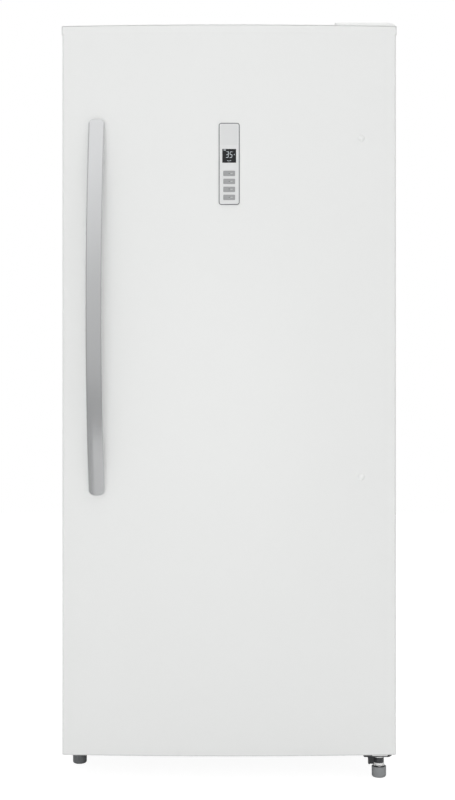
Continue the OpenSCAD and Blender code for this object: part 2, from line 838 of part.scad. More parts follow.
cfan_dia = 150;
shroud_half = cfan_dia / 2 + 13;
cfan_x = condenser_x - condenser_w / 2 - 72;
cfan_y = condenser_y;
cfan_z = deck_z + shroud_half + 14;

// The condenser fan's motor stands in a square shroud on the deck
module condenser_fan_motor() {
    in_frame() color(dark_steel) {
        difference() {
            span([cfan_x + 14, cfan_x + 40], [cfan_y - shroud_half, cfan_y + shroud_half],
                [deck_z, cfan_z + shroud_half]);
            translate([cfan_x - eps, cfan_y, cfan_z]) rotate([0, 90, 0])
                cylinder(d = cfan_dia + 8, h = 60, $fn = 96);
        }
        for (a = [45:90:315])
            translate([cfan_x + 33, cfan_y, cfan_z]) rotate([a, 0, 0]) translate([0, -4, 0])
                cube([6, 8, cfan_dia / 2 + 8]);
        translate([cfan_x + 12, cfan_y, cfan_z]) rotate([0, 90, 0])
            cylinder(d = 46, h = 28, $fn = 48);
        translate([cfan_x - 8, cfan_y, cfan_z]) rotate([0, 90, 0])
            cylinder(d = 6, h = 26, $fn = 32);
    }
}

module condenser_fan() {
    in_frame() color("#3a3b3d") translate([cfan_x + 10, cfan_y, cfan_z]) rotate([0, -90, 0])
        fan_wheel(cfan_dia, 48, 22, 5, 6 + 2 * pin_fit);
}

module drain_pan() {
    x0 = -60;
    x1 = 130;
    y0 = machine_front + 76;
    y1 = case_back - 10;
    in_frame() color("#3a3b3d") difference() {
        along_z(deck_z, deck_z + 34) round_rect([x0, y0], [x1, y1], 12);
        along_z(deck_z + 2.5, deck_z + 40)
            round_rect([x0 + 2.5, y0 + 2.5], [x1 - 2.5, y1 - 2.5], 9.5);
    }
}

// A pressed rear cover with rows of slots over the compressor and over the coil
module machine_cover() {
    in_frame() color("#4a4b4d") difference() {
        along_y(case_back, back_reach)
            round_rect([2.5 - half_w, base_z + 4], [half_w - 2.5, machine_top - 0.5], 6);
        for (x0 = [-320, 180], i = [0:7], k = [0:2])
            translate([x0 + 22 * i, 0, base_z + 60 + 56 * k])
                along_y(case_back - eps, back_reach + eps) round_rect([0, 0], [8, 42], 3, 1);
        translate([30, case_back - eps, base_z + 120]) rotate([-90, 0, 0])
            cylinder(d = 24, h = grille_t + 2 * eps, $fn = 48);
    }
}

// Door

// Plan of the door: a bowed front, round front edges and bevelled back edges
module door_plan(grow = 0) {
    sweep = 82;
    w = door_half + grow;
    r = door_r + grow;
    back = door_t + min(grow, 0);
    c = [door_half - door_r, door_r];
    intersection() {
        translate([0, door_curve - door_bulge]) circle(r = door_curve + grow, $fn = 720);
        polygon(concat(
            [[w - door_bevel, back], [w, back - door_bevel]],
            arc_points(c, r, 0, -sweep, 6),
            [[0, -4 * door_bulge]],
            arc_points([-c[0], c[1]], r, 180 + sweep, 180, 6),
            [[-w, back - door_bevel], [door_bevel - w, back]]));
    }
}

// Puts what is drawn round the origin on the bowed front at x, with -Y pointing out
module on_door(x) {
    translate([0, door_curve - door_bulge, 0]) rotate([0, 0, asin(x / door_curve)])
        translate([0, -door_curve, 0]) children();
}

// Round holes for the handle's studs and, mirrored, for the hole plugs
module handle_holes(dia, depth) {
    for (x = [-handle_x, handle_x], z = [handle_z - screw_dz, handle_z + screw_dz])
        on_door(x) translate([0, -5, z]) rotate([-90, 0, 0]) cylinder(d = dia, h = depth, $fn = 48);
}

module panel_pocket(shrink, y0, y1) {
    hw = panel_w / 2 - 3 - shrink;
    hh = panel_h / 2 - 3 - shrink;
    along_y(y0, y1) round_rect([-hw, panel_z - hh], [hw, panel_z + hh], panel_r - 1, 4);
}

module door_skin() {
    in_frame() color(steel_white) difference() {
        along_z(door_z0 + cap_lip, door_z1 - cap_h) difference() {
            door_plan();
            door_plan(-sheet_t);
        }
        span([door_bevel + return_w - door_half, door_half - door_bevel - return_w],
            [door_t - 2 * sheet_t, door_t + eps], [door_z0 - eps, door_z1]);
        panel_pocket(0, -door_bulge - eps, 0);
        handle_holes(stud_dia, 12);
    }
}

// The liner's raised ribs: a tall ring that the bins hang between
module dyke_ring(shrink, y0) {
    s = shrink;
    for (step = [[0, dyke_d - 8], [4, dyke_d]])
        along_y(y0, door_t + step[1] - s) difference() {
            o = step[0] + s;
            round_rect([o - dyke_half, dyke_z0 + o], [dyke_half - o, dyke_z1 - o], 14 - o);
            i = dyke_w - o;
            round_rect([i - dyke_half, dyke_z0 + i], [dyke_half - i, dyke_z1 - i], 12);
        }
}

module door_foam() {
    in_frame() color(foam_cream) difference() {
        union() {
            intersection() {
                along_z(door_z0 + cap_h, door_z1 - cap_h) door_plan(-sheet_t);
                span([-door_half, door_half], [-100, door_t - liner_t], [0, door_z1]);
            }
            dyke_ring(liner_t, door_t - liner_t - 5);
        }
        panel_pocket(0, -door_bulge - eps, pocket_d - door_bulge);
        handle_holes(30, 34);
    }
}

function bin_low(i) = bin_z + i * bin_pitch;

// The door's liner, its ribs and the lugs that carry the bins
module door_liner() {
    w = door_half - door_bevel - return_w;
    in_frame() color(liner_white) {
        difference() {
            union() {
                span([-w, w], [door_t - liner_t, door_t], [door_z0 + cap_h, door_z1 - cap_h]);
                dyke_ring(0, door_t - liner_t);
            }
            dyke_ring(liner_t, door_t - liner_t - 1);
        }
        both_sides() for (i = [0:4])
            span([bin_half + 2 - lug_w, bin_half + 3], [bin_y + 6, bin_y + 22],
                [bin_low(i) + lug_up, bin_low(i) + lug_up + lug_h]);
    }
}

module door_top_cap() {
    z0 = door_z1 - cap_h;
    in_frame() color(cap_white) difference() {
        union() {
            difference() {
                along_z(z0, door_z1) intersection() {
                    door_plan(cap_rim);
                    translate([0, door_curve - door_bulge])
                        circle(r = door_curve + cap_proud, $fn = 720);
                }
                along_z(z0 - eps, door_z1 - cap_wall) door_plan(-cap_wall);
            }
            translate([hinge_x, hinge_back, z0]) cylinder(d = 26, h = cap_h - 1, $fn = 64);
            for (x = [-300:100:300])
                span([x - 1, x + 1], [0, door_t - 1], [z0, door_z1 - 1]);
        }
        translate([hinge_x, hinge_back, z0 + 3])
            cylinder(d = top_pin_dia + 2 * pin_fit, h = cap_h, $fn = 64);
    }
}

// The bottom cap plugs into the skin; its boss rides on the hinge bracket
module door_bottom_cap() {
    z1 = door_z0 + cap_h;
    in_frame() color("#c9cac9") difference() {
        union() {
            along_z(door_z0, door_z0 + cap_lip) door_plan();
            along_z(door_z0 + 1, z1) difference() {
                door_plan(-sheet_t);
                door_plan(-sheet_t - cap_wall);
            }
            translate([hinge_x, hinge_back, plate_top + slide_fit])
                cylinder(d = 26, h = z1 - plate_top - slide_fit, $fn = 64);
            along_z(plate_top + slide_fit + 0.3, door_z0 + 1)
                round_rect([hinge_x - 19.5, 2], [hinge_x + 19.5, hinge_back - 8], 3, 3);
        }
        translate([hinge_x, hinge_back, plate_top])
            cylinder(d = bottom_pin_dia + 2 * pin_fit, h = z1 - plate_top - 2, $fn = 64);
    }
}

// A ring of soft profile: a foot in the liner, a thin bellows and a magnet bar
module door_gasket() {
    w = gasket_w;
    y1 = case_front - slide_fit;
    in_frame() color("#d8d9d8") for (s = [[0, door_t, door_t + 3.5], [3.5, door_t + 3, y1 - 4],
            [0, y1 - 4.5, y1]])
        along_y(s[1], s[2]) difference() {
            round_rect([s[0] - gasket_half, gasket_z0 + s[0]],
                [gasket_half - s[0], gasket_z1 - s[0]], 6, 3);
            round_rect([w - s[0] - gasket_half, gasket_z0 + w - s[0]],
                [gasket_half - w + s[0], gasket_z1 - w + s[0]], 3, 3);
        }
}

// Outer face of the bow above the door, at a distance from the handle's middle
function bow_reach(z) = handle_reach - bow_curve + sqrt(pow(bow_curve, 2) - pow(z, 2));

// A cast foot under one end of the bow, with a sloping top inside the bar
module handle_foot(side) {
    w = handle_w / 2 - 4;
    z0 = screw_dz - 38;
    z1 = screw_dz + 38;
    rise = handle_t / 2;
    intersection() {
        along_y(-handle_reach, -0.2) round_rect([-w, handle_z + side * screw_dz - 38],
            [w, handle_z + side * screw_dz + 38], 12);
        along_x(-w, w) polygon([
            [0, handle_z + side * z0], [rise - bow_reach(z0), handle_z + side * z0],
            [min(rise - bow_reach(z1), -2), handle_z + side * z1], [0, handle_z + side * z1]]);
    }
}

// A bowed grip: a rounded bar bent to a large arc whose ends come down to the door
module handle() {
    half = asin(handle_half / bow_curve);
    back = handle_reach - bow_curve;
    w = handle_w / 2;
    in_frame() color("#b4b6b8") on_door(-handle_x) difference() {
        intersection() {
            union() {
                translate([0, -back, handle_z]) rotate([0, 90, 0]) rotate([0, 0, 270 - half])
                    rotate_extrude(angle = 2 * half, $fn = 2880)
                        polygon(round_points([bow_curve - handle_t, -w], [bow_curve, w], 5, 4));
                for (s = [-1, 1]) handle_foot(s);
            }
            along_y(-handle_reach - 5, -0.2)
                round_rect([-w, handle_z - handle_half], [w, handle_z + handle_half], 12, 6);
        }
        for (s = [-1, 1])
            translate([0, 1, handle_z + s * screw_dz]) rotate([90, 0, 0])
                cylinder(d = stud_dia, h = 13, $fn = 48);
    }
}

// Threaded studs on plates that are foamed in behind the skin
module handle_studs() {
    in_frame() color(zinc) for (s = [-1, 1]) on_door(-handle_x)
        translate([0, -12, handle_z + s * screw_dz]) rotate([-90, 0, 0]) {
            cylinder(d = stud_dia, h = 36, $fn = 48);
            translate([0, 0, 15]) cylinder(d = 26, h = 4, $fn = 48);
        }
}

// Push-in plugs for the holes that take the handle when the door is hung left
module plug_buttons() {
    r = plug_dia / 2;
    in_frame() color(steel_white) for (s = [-1, 1]) on_door(handle_x)
        translate([0, 0, handle_z + s * screw_dz]) rotate([90, 0, 0]) {
            rotate_extrude($fn = 64) polygon([
                [0, 0.02], [r, 0.02], [r, 0.9], [r * 0.9, 1.7], [r * 0.6, 2.4], [0, 2.8]]);
            translate([0, 0, -14]) cylinder(d = stud_dia, h = 14.1, $fn = 48);
        }
}

// Control panel

function key_z(i) = panel_z + key_top - i * key_pitch;

module key_window(grow) {
    for (i = [0:key_count - 1])
        translate([0, key_z(i)])
            round_rect([-key_w / 2 - grow, -key_h / 2 - grow],
                [key_w / 2 + grow, key_h / 2 + grow], 1.5 + grow, 3);
}

// The panel's face with its windows, and the skirt that plugs into the door
module control_bezel() {
    y0 = -door_bulge - panel_t;
    s = display_s / 2;
    in_frame() color("#dadbdb") {
        difference() {
            along_y(y0, -door_bulge)
                round_rect([-panel_w / 2, panel_z - panel_h / 2],
                    [panel_w / 2, panel_z + panel_h / 2], panel_r);
            along_y(y0 - eps, 0) key_window(slide_fit);
            span([-s, s], [y0 - eps, 0], [panel_z + display_up - s, panel_z + display_up + s]);
        }
        difference() {
            panel_pocket(slide_fit, -door_bulge, 2 - door_bulge + 8);
            panel_pocket(slide_fit + 1.6, -door_bulge - eps, 3 - door_bulge + 8);
        }
    }
}

module display_window() {
    s = display_s / 2;
    z = panel_z + display_up;
    y0 = -door_bulge - panel_t;
    in_frame() color("#0c0d10") {
        span([-s, s], [y0 + 0.2, -door_bulge + 1], [z - s, z + s]);
        span([-s - 1.5, s + 1.5], [-door_bulge, -door_bulge + 1.5], [z - s - 1.5, z + s + 1.5]);
    }
}

board_y = -door_bulge + 4;
switch_h = 1.2;

// A key cap with a flange behind the panel's face
module key(i) {
    y0 = -door_bulge - panel_t - 0.7;
    fy = -door_bulge + 0.1;
    in_frame() color("#9c9d9e") translate([0, 0, key_z(i)]) {
        along_y(y0, fy + 0.5)
            round_rect([-key_w / 2, -key_h / 2], [key_w / 2, key_h / 2], 1.5, 3);
        along_y(fy, board_y - switch_h - key_travel - 0.2)
            round_rect([-key_w / 2 - 1.4, -key_h / 2 - 1.4],
                [key_w / 2 + 1.4, key_h / 2 + 1.4], 2, 3);
    }
}

module key_1() { key(0); }
module key_2() { key(1); }
module key_3() { key(2); }
module key_4() { key(3); }

module control_board() {
    w = panel_w / 2 - 5.2;
    h = panel_h / 2 - 5.2;
    in_frame() color("#2c6b45") {
        along_y(board_y, board_y + 1.6) round_rect([-w, panel_z - h], [w, panel_z + h], panel_r - 1.2, 3);
        for (i = [0:key_count - 1])
            translate([0, board_y + 0.1, key_z(i)]) rotate([90, 0, 0])
                cylinder(d = 6, h = switch_h + 0.1, $fn = 32);
        span([-12, 12], [-door_bulge + 1.5, board_y],
            [panel_z + display_up - 12, panel_z + display_up + 12]);
    }
}

// Door bins

// A lift-off bin: a sloped tray with a lip, and an ear at each end over a lug
module door_bin(i) {
    z = bin_low(i);
    w = bin_half - ear_w;
    y1 = bin_y + bin_d;
    notch = slide_fit;
    in_frame() color("#e8f0f2", 0.7) difference() {
        union() {
            along_x(-w, w) polygon([
                [bin_y, z + 6], [bin_y + 6, z], [y1 - 14, z], [y1 - 4, z + 10],
                [y1, z + bin_h], [bin_y, z + bin_h]]);
            both_sides()
                span([w - 1, bin_half], [bin_y, bin_y + 30],
                    [z + lug_up - 10, z + lug_up + lug_h + 14]);
            both_sides() span([w - 1, bin_half], [bin_y, bin_y + bin_d - 10],
                [z + bin_h - 5, z + bin_h]);
        }
        along_x(bin_t - w, w - bin_t) polygon([
            [bin_y + bin_t, z + 7.5], [bin_y + 7, z + bin_t], [y1 - 15, z + bin_t],
            [y1 - 4 - bin_t, z + 11], [y1 - bin_t, z + bin_h + 1],
            [bin_y + bin_t, z + bin_h + 1]]);
        both_sides()
            span([bin_half + 2 - lug_w - notch, bin_half + 2],
                [bin_y + 6 - notch, bin_y + 22 + notch],
                [z + lug_up - 12, z + lug_up + lug_h + notch]);
    }
}

module door_bin_1() { door_bin(0); }
module door_bin_2() { door_bin(1); }
module door_bin_3() { door_bin(2); }
module door_bin_4() { door_bin(3); }
module door_bin_5() { door_bin(4); }

outer_case();
rear_panel();
base_pan();
cabinet_foam();
inner_liner();
air_duct_cover();
evaporator();
evaporator_fan_motor();
evaporator_fan();
lamp_lens();
shelf_glass_1();
shelf_glass_2();
shelf_glass_3();
shelf_glass_4();
shelf_frame_1();
shelf_frame_2();
shelf_frame_3();
shelf_frame_4();
crisper_cover_glass();
crisper_cover_frame();
crisper_left();
crisper_right();
top_hinge_bracket();
top_hinge_pin();
hinge_cover();
bottom_hinge_bracket();
bottom_hinge_pin();
right_foot();
left_foot();
roller_left();
roller_right();
roller_brackets();
compressor();
compressor_grommets();
condenser();
condenser_fan();
condenser_fan_motor();
drain_pan();
machine_cover();
door_skin();
door_foam();
door_liner();
door_top_cap();
door_bottom_cap();
door_gasket();
handle();
handle_studs();
plug_buttons();
control_bezel();
display_window();
key_1();
key_2();
key_3();
key_4();
control_board();
door_bin_1();
door_bin_2();
door_bin_3();
door_bin_4();
door_bin_5();
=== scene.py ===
# %% [markdown]
# # A tall refrigerator with one door
# The CAD model holds every piece at its real size, so this lesson loads it as a fixed frame and
# gives it its looks. Curved faces that light runs along, such as the bowed door and the handle,
# are made again as smooth surfaces. Flat and hidden pieces keep their CAD shape and only get a
# finish. Shapes are written in millimetres as (x, depth, z), where depth is measured back from
# the door's front edges.

# %% Load the frame
import json
import math

import bmesh
import bpy
import numpy as np
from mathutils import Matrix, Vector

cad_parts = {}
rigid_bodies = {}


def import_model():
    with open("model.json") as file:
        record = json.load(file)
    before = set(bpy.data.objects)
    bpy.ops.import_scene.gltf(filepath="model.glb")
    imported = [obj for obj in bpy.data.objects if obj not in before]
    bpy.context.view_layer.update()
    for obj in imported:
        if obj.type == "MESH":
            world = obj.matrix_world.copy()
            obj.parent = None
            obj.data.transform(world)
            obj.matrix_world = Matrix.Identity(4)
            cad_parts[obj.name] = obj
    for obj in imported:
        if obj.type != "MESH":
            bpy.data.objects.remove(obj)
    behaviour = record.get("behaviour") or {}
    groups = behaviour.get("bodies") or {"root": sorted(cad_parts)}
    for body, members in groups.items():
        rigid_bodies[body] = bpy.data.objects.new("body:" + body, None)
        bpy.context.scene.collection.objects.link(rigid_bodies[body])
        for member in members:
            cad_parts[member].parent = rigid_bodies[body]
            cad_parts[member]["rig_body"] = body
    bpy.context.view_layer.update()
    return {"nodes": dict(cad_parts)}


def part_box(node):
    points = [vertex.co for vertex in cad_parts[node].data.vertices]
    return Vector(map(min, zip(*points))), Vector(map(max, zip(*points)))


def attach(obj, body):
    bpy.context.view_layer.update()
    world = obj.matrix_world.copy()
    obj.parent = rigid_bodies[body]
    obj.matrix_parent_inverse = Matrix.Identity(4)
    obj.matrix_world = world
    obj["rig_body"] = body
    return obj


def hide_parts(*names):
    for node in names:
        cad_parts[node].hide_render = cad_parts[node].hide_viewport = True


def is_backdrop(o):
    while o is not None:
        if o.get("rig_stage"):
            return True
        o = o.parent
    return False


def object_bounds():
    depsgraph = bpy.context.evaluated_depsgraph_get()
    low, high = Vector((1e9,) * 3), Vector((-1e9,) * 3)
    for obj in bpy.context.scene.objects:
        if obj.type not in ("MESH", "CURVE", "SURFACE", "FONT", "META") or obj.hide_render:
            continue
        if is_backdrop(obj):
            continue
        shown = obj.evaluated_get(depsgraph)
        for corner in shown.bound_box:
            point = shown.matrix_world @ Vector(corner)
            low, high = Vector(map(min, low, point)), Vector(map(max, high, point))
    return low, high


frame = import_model()
MM = 0.001
DOOR_BULGE = 14.0
EDGE_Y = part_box("door_skin")[0].y + DOOR_BULGE * MM


def corners_of(node):
    """A node's lowest and highest corners in mm, with y as depth behind the door's edges."""
    shift = np.array([0, EDGE_Y, 0])
    return [(np.array(corner) - shift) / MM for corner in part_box(node)]


skin_low, skin_high = corners_of("door_skin")
DOOR_HALF = skin_high[0]
print("front edges of the door at y", round(EDGE_Y, 5), "half width", round(DOOR_HALF, 2), "mm")

# %% [markdown]
# The photograph was taken straight from the front, at half the door's height. The camera stands
# level there, so upright edges stay parallel, and its lens gives the door the width that it has
# in the photograph.

# %% Camera
CAMERA_X, CAMERA_DEPTH, CAMERA_Z = -4.2, -3146.0, 950.0
# Blender lays the sensor's width along the frame's longer side, which is 800 pixels here.
FOCAL_PIXELS, FRAME_PIXELS = 1257.0, 800.0
SENSOR_W = 36.0


def put(name, data):
    """A new object in the scene that shows the data."""
    item = bpy.data.objects.new(name, data)
    bpy.context.scene.collection.objects.link(item)
    return item


camera_data = bpy.data.cameras.new("camera")
camera_data.sensor_width = SENSOR_W
camera_data.lens = FOCAL_PIXELS / FRAME_PIXELS * SENSOR_W
camera = put("camera", camera_data)
camera.location = (CAMERA_X * MM, EDGE_Y + CAMERA_DEPTH * MM, CAMERA_Z * MM)
camera.rotation_euler = (math.pi / 2, 0, 0)
bpy.context.scene.camera = camera
print("lens", round(camera_data.lens, 2), "mm")

# %% [markdown]
# Outlines are paths of points. Most real corners are round, so a path is given by its sharp
# corners and their radii, and one function bends it round them.

# %% Paths
def unit(vectors):
    """Each vector divided by its length."""
    return vectors / np.linalg.norm(vectors, axis=-1, keepdims=True)


def rounded(corners, radii, steps=6, ends=False):
    """Path round the corners. At each, the arc's centre lies on the bisector at radius over the
    sine of half the opening angle, and the arc turns between the two tangent points. A path with
    ends keeps its first and last point; any other is closed."""
    corner = np.asarray(corners, float)
    before, after = np.roll(corner, 1, axis=0), np.roll(corner, -1, axis=0)
    if ends:
        before, corner, after = corner[:-2], corner[1:-1], corner[2:]
    radius = np.broadcast_to(np.asarray(radii, float), len(corner))[:, None]
    back, ahead = unit(before - corner), unit(after - corner)
    half = np.arccos(np.clip(np.sum(back * ahead, axis=1), -1, 1))[:, None] / 2
    centre = corner + unit(back + ahead) * radius / np.sin(half)
    first = corner + back * radius / np.tan(half) - centre
    last = corner + ahead * radius / np.tan(half) - centre
    angle = np.arctan2(first[:, 1], first[:, 0])[:, None]
    turn = np.arctan2(last[:, 1], last[:, 0])[:, None] - angle
    turn = (turn + np.pi) % (2 * np.pi) - np.pi
    angles = angle + turn * np.linspace(0, 1, steps + 1)
    arcs = centre[:, None, :] + radius[:, :, None] * np.stack([np.cos(angles), np.sin(angles)], -1)
    path = arcs.reshape(-1, 2)
    return np.vstack([before[0], path, after[-1]]) if ends else path


def rectangle(low, high):
    """The four corners of a rectangle, once round."""
    return [(low[0], low[1]), (high[0], low[1]), (high[0], high[1]), (low[0], high[1])]


def box_path(low, high, radius, steps=6):
    """Closed path round a rectangle with round corners."""
    return rounded(rectangle(low, high), radius, steps)


def round_angles(count):
    """Angles of points spaced evenly round a circle."""
    return np.linspace(0, 2 * np.pi, count, endpoint=False)

# %% [markdown]
# A surface is a grid of points, row by row. Each row is a closed ring, and two neighbouring rows
# are joined by four-sided faces. The last row joins the first, as in a tyre, or a flat face
# closes each end.

# %% Surfaces
def grid_faces(rows, columns, wrap):
    """Corner numbers of the faces of a grid whose rows are closed. Row r and column c meet at the
    number r * columns + c, and with wrap the last row also joins the first."""
    i = np.arange(rows if wrap else rows - 1)[:, None]
    j = np.arange(columns)[None, :]
    below, right = (i + 1) % rows, (j + 1) % columns
    corners = [i * columns + j, below * columns + j, below * columns + right, i * columns + right]
    return np.stack(np.broadcast_arrays(*corners), axis=-1).reshape(-1, 4).tolist()


def loft(rings, wrap=False):
    """A skin over closed rings, an array of (ring, point, xyz), with flat ends unless it wraps."""
    rings = np.asarray(rings, float)
    count, size = rings.shape[:2]
    faces = grid_faces(count, size, wrap)
    if not wrap:
        faces += [list(range(size))[::-1], list(range((count - 1) * size, count * size))]
    return rings.reshape(-1, 3), faces

# %% [markdown]
# One function turns shells into a piece. It puts the points into a mesh, turns the faces
# outwards, keeps edges sharp where faces meet at more than an angle, and makes the piece ride on
# its CAD body, so that it moves with it.

# %% Pieces
CREASE = 35.0


def make_piece(name, shells, material, body, replaces=(), crease=CREASE):
    """Joins shells of (points in mm, faces) into one object of the given material."""
    starts = np.cumsum([0] + [len(points) for points, _ in shells])
    points = np.vstack([points for points, _ in shells])
    faces = [[k + int(start) for k in face]
             for start, (_, shell) in zip(starts, shells) for face in shell]
    mesh = bpy.data.meshes.new(name)
    mesh.from_pydata(points * MM + [0, EDGE_Y, 0], [], faces)
    turned = bmesh.new()
    turned.from_mesh(mesh)
    bmesh.ops.recalc_face_normals(turned, faces=turned.faces)
    turned.to_mesh(mesh)
    turned.free()
    mesh.materials.append(material)
    piece = put(name, mesh)
    shade(piece, crease)
    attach(piece, body)
    if replaces:
        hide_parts(*replaces)
    print(name, len(mesh.vertices), "points,", len(mesh.polygons), "faces")


def shade(piece, crease):
    """Smooth shading with edges kept sharp above the crease angle, in degrees."""
    bpy.ops.object.select_all(action="DESELECT")
    piece.select_set(True)
    bpy.context.view_layer.objects.active = piece
    bpy.ops.object.shade_smooth_by_angle(angle=math.radians(crease))

# %% [markdown]
# Colours are written as they look on a screen and turned to the linear values that the renderer
# works in. A material is a small net of nodes, and one function adds a node to it. Patterns read
# the piece's own coordinates in metres, so a noise of scale 1000 / p has grains of about p mm.

# %% Colours and nodes
def linear(code):
    """sRGB hex as linear RGBA: c / 12.92 up to 0.04045, and above it ((c + 0.055) / 1.055)^2.4."""
    srgb = np.array([int(code[i:i + 2], 16) for i in (1, 3, 5)]) / 255
    rgb = np.where(srgb <= 0.04045, srgb / 12.92, ((srgb + 0.055) / 1.055) ** 2.4)
    return (*rgb.tolist(), 1.0)


def emptied(owner):
    """The net of a material or a world, without its first nodes."""
    owner.use_nodes = True
    owner.node_tree.nodes.clear()
    return owner.node_tree


def add(tree, kind, inputs=None, **settings):
    """Adds a shader node. An input is a value, or another node's output, which is linked."""
    node = tree.nodes.new("ShaderNode" + kind)
    for key, value in settings.items():
        setattr(node, key, value)
    for key, value in (inputs or {}).items():
        if isinstance(value, bpy.types.NodeSocket):
            tree.links.new(value, node.inputs[key])
        else:
            node.inputs[key].default_value = value
    return node


def new_material(name, **constants):
    """An empty material with a shader whose sockets hold the constants, and its coordinates."""
    material = bpy.data.materials.new(name)
    tree = emptied(material)
    shader = add(tree, "BsdfPrincipled", constants)
    add(tree, "OutputMaterial", {"Surface": shader.outputs["BSDF"]})
    coords = add(tree, "TexCoord").outputs["Object"]
    return material, tree, shader, coords

# %% [markdown]
# Hardly any finish has one colour or one gloss. One pattern drives both here, and the relief,
# because on a real surface they vary together.

# %% Finishes with a grain
# Several sockets of a Mix node are called A or B, so its colour sockets go by number.
MIX_A, MIX_B, MIX_OUT = 6, 7, 2
# Nearly all values of a noise lie between these two.
NOISE_ENDS = (0.3, 0.7)


def graded(tree, shader, share, height, light, dark, relief, rough, ends=(0, 1)):
    """Colour goes from dark to light with the share. Roughness goes from its first value to its
    second as the share goes from one end to the other. Height times relief, in mm, is the bump."""
    colour = add(tree, "Mix", {"Factor": share, MIX_A: linear(dark), MIX_B: linear(light)},
                 data_type="RGBA")
    gloss = add(tree, "MapRange", {"Value": share, "From Min": ends[0], "From Max": ends[1],
                "To Min": rough[0], "To Max": rough[1]})
    bump = add(tree, "Bump", {"Height": height, "Distance": relief * MM})
    for output, socket in ((colour.outputs[MIX_OUT], "Base Color"),
                           (gloss.outputs["Result"], "Roughness"),
                           (bump.outputs["Normal"], "Normal")):
        tree.links.new(output, shader.inputs[socket])


def grained(name, light, dark, grain, relief, rough, stretch=(1, 1, 1), detail=3.0, **constants):
    """A finish whose colour, gloss and height all follow one noise: grain is its size in mm,
    relief the height in mm, rough the lowest and highest roughness, stretch its three scales."""
    material, tree, shader, coords = new_material(name, **constants)
    place = add(tree, "Mapping", {"Vector": coords, "Scale": stretch})
    noise = add(tree, "TexNoise", {"Vector": place.outputs["Vector"], "Scale": 1000 / grain,
                "Detail": detail}).outputs["Fac"]
    graded(tree, shader, noise, noise, light, dark, relief, rough, NOISE_ENDS)
    return material

# %% [markdown]
# The door and the case are coil-coated steel: a sheet that is painted flat, cured and then
# folded. The door's coat is smooth with a faint waviness like orange peel, about 2 mm across.
# The case's coat has a deeper pebble texture that hides marks. The hinge bracket is
# powder-coated, which is duller, and the compressor has a glossy stoved enamel.

# %% Painted steel
door_paint = grained("coil_coated_steel_smooth", "#e8e9e8", "#e6e7e6", 2.2, 0.004, (0.30, 0.36),
                     detail=1.0)
case_paint = grained("coil_coated_steel_pebbled", "#ebecea", "#e6e7e5", 1.6, 0.05, (0.42, 0.52),
                     detail=2.0)
black_paint = grained("powder_coated_steel_black", "#4d4e50", "#3c3d3f", 0.9, 0.02, (0.45, 0.58),
                      **{"Specular IOR Level": 0.3})
compressor_paint = grained("stoved_black_enamel", "#232426", "#17181a", 1.5, 0.03, (0.25, 0.35))

# %% [markdown]
# Moulded plastics differ in gloss and in the spark-eroded grain of their moulds. ABS caps and
# covers have a fine satin grain, the vacuum-formed polystyrene liner is glossy and almost plain,
# and glass-filled nylon feet are coarse and dull.

# %% Plastics
cap_abs = grained("moulded_abs_white", "#e9eae9", "#e6e7e6", 0.8, 0.010, (0.36, 0.44))
boss_abs = grained("moulded_abs_grey", "#d9dad9", "#d1d2d1", 0.8, 0.010, (0.40, 0.48))
liner_hips = grained("vacuum_formed_polystyrene", "#f3f4f4", "#eff1f1", 6.0, 0.020, (0.16, 0.24))
shelf_abs = grained("moulded_abs_bright_white", "#f4f5f5", "#eff0f0", 0.9, 0.008, (0.26, 0.34))
panel_film = grained("matt_polyester_film", "#dfe0e0", "#dbdcdc", 0.5, 0.004, (0.40, 0.48))
zone_film = grained("screen_printed_film", "#dadbdb", "#d6d7d7", 0.5, 0.003, (0.36, 0.42))
key_film = grained("printed_silicone_keys", "#a3a4a5", "#9a9b9c", 0.5, 0.006, (0.50, 0.58))
dark_print = grained("dark_screen_print", "#5a5c5e", "#505254", 0.6, 0.002, (0.45, 0.55))
# A plain dark grey band runs along the panel's edge, drawn flat on the bezel.
panel_edge_grey = grained("dark_grey_panel_edge", "#5c5e60", "#525456", 0.6, 0.002, (0.45, 0.55))
foot_nylon = grained("glass_filled_nylon_grey", "#97999b", "#868889", 1.1, 0.05, (0.46, 0.60))
# The left foot is the same grey nylon made darker: painted shade, for the door's shade that falls
# on it.
foot_nylon_painted_shade = grained("glass_filled_nylon_painted_shade", "#737577", "#67696b", 1.1, 0.05, (0.46, 0.60))
washer_nylon = grained("white_nylon", "#fbfbfa", "#f6f6f5", 0.8, 0.01, (0.35, 0.45))
black_pp = grained("moulded_polypropylene_black", "#333436", "#28292b", 0.9, 0.02, (0.45, 0.58))
cover_pp = grained("flame_retardant_pp_grey", "#4b4c4e", "#404143", 1.1, 0.03, (0.50, 0.62))
rubber = grained("moulded_rubber_black", "#232323", "#171717", 0.8, 0.03, (0.65, 0.80))
gasket_pvc = grained("extruded_soft_pvc", "#e0e1e0", "#d6d7d6", 1.5, 0.01, (0.48, 0.58))
board_mask = grained("green_solder_mask", "#2f7049", "#22583a", 1.2, 0.01, (0.25, 0.40))
lamp_opal = grained("opal_polycarbonate", "#f7f7f2", "#f2f2ec", 1.0, 0.01, (0.30, 0.38))

# %% [markdown]
# Polyurethane foam shows its cells, which a Voronoi pattern draws. The same pattern, larger,
# gives galvanised sheet its spangles, flat crystals of slightly different grey. The handle's
# aluminium is brushed along its length before it is anodised, so its grain is drawn out.

# %% Foam and bright metal
def celled(name, light, dark, cell, relief, rough, **constants):
    """A finish of Voronoi cells, cell mm across: each has one random shade and a low relief."""
    material, tree, shader, coords = new_material(name, **constants)
    cells = add(tree, "TexVoronoi", {"Vector": coords, "Scale": 1000 / cell})
    split = add(tree, "SeparateColor", {"Color": cells.outputs["Color"]})
    graded(tree, shader, split.outputs["Red"], cells.outputs["Distance"], light, dark, relief,
           rough)
    return material


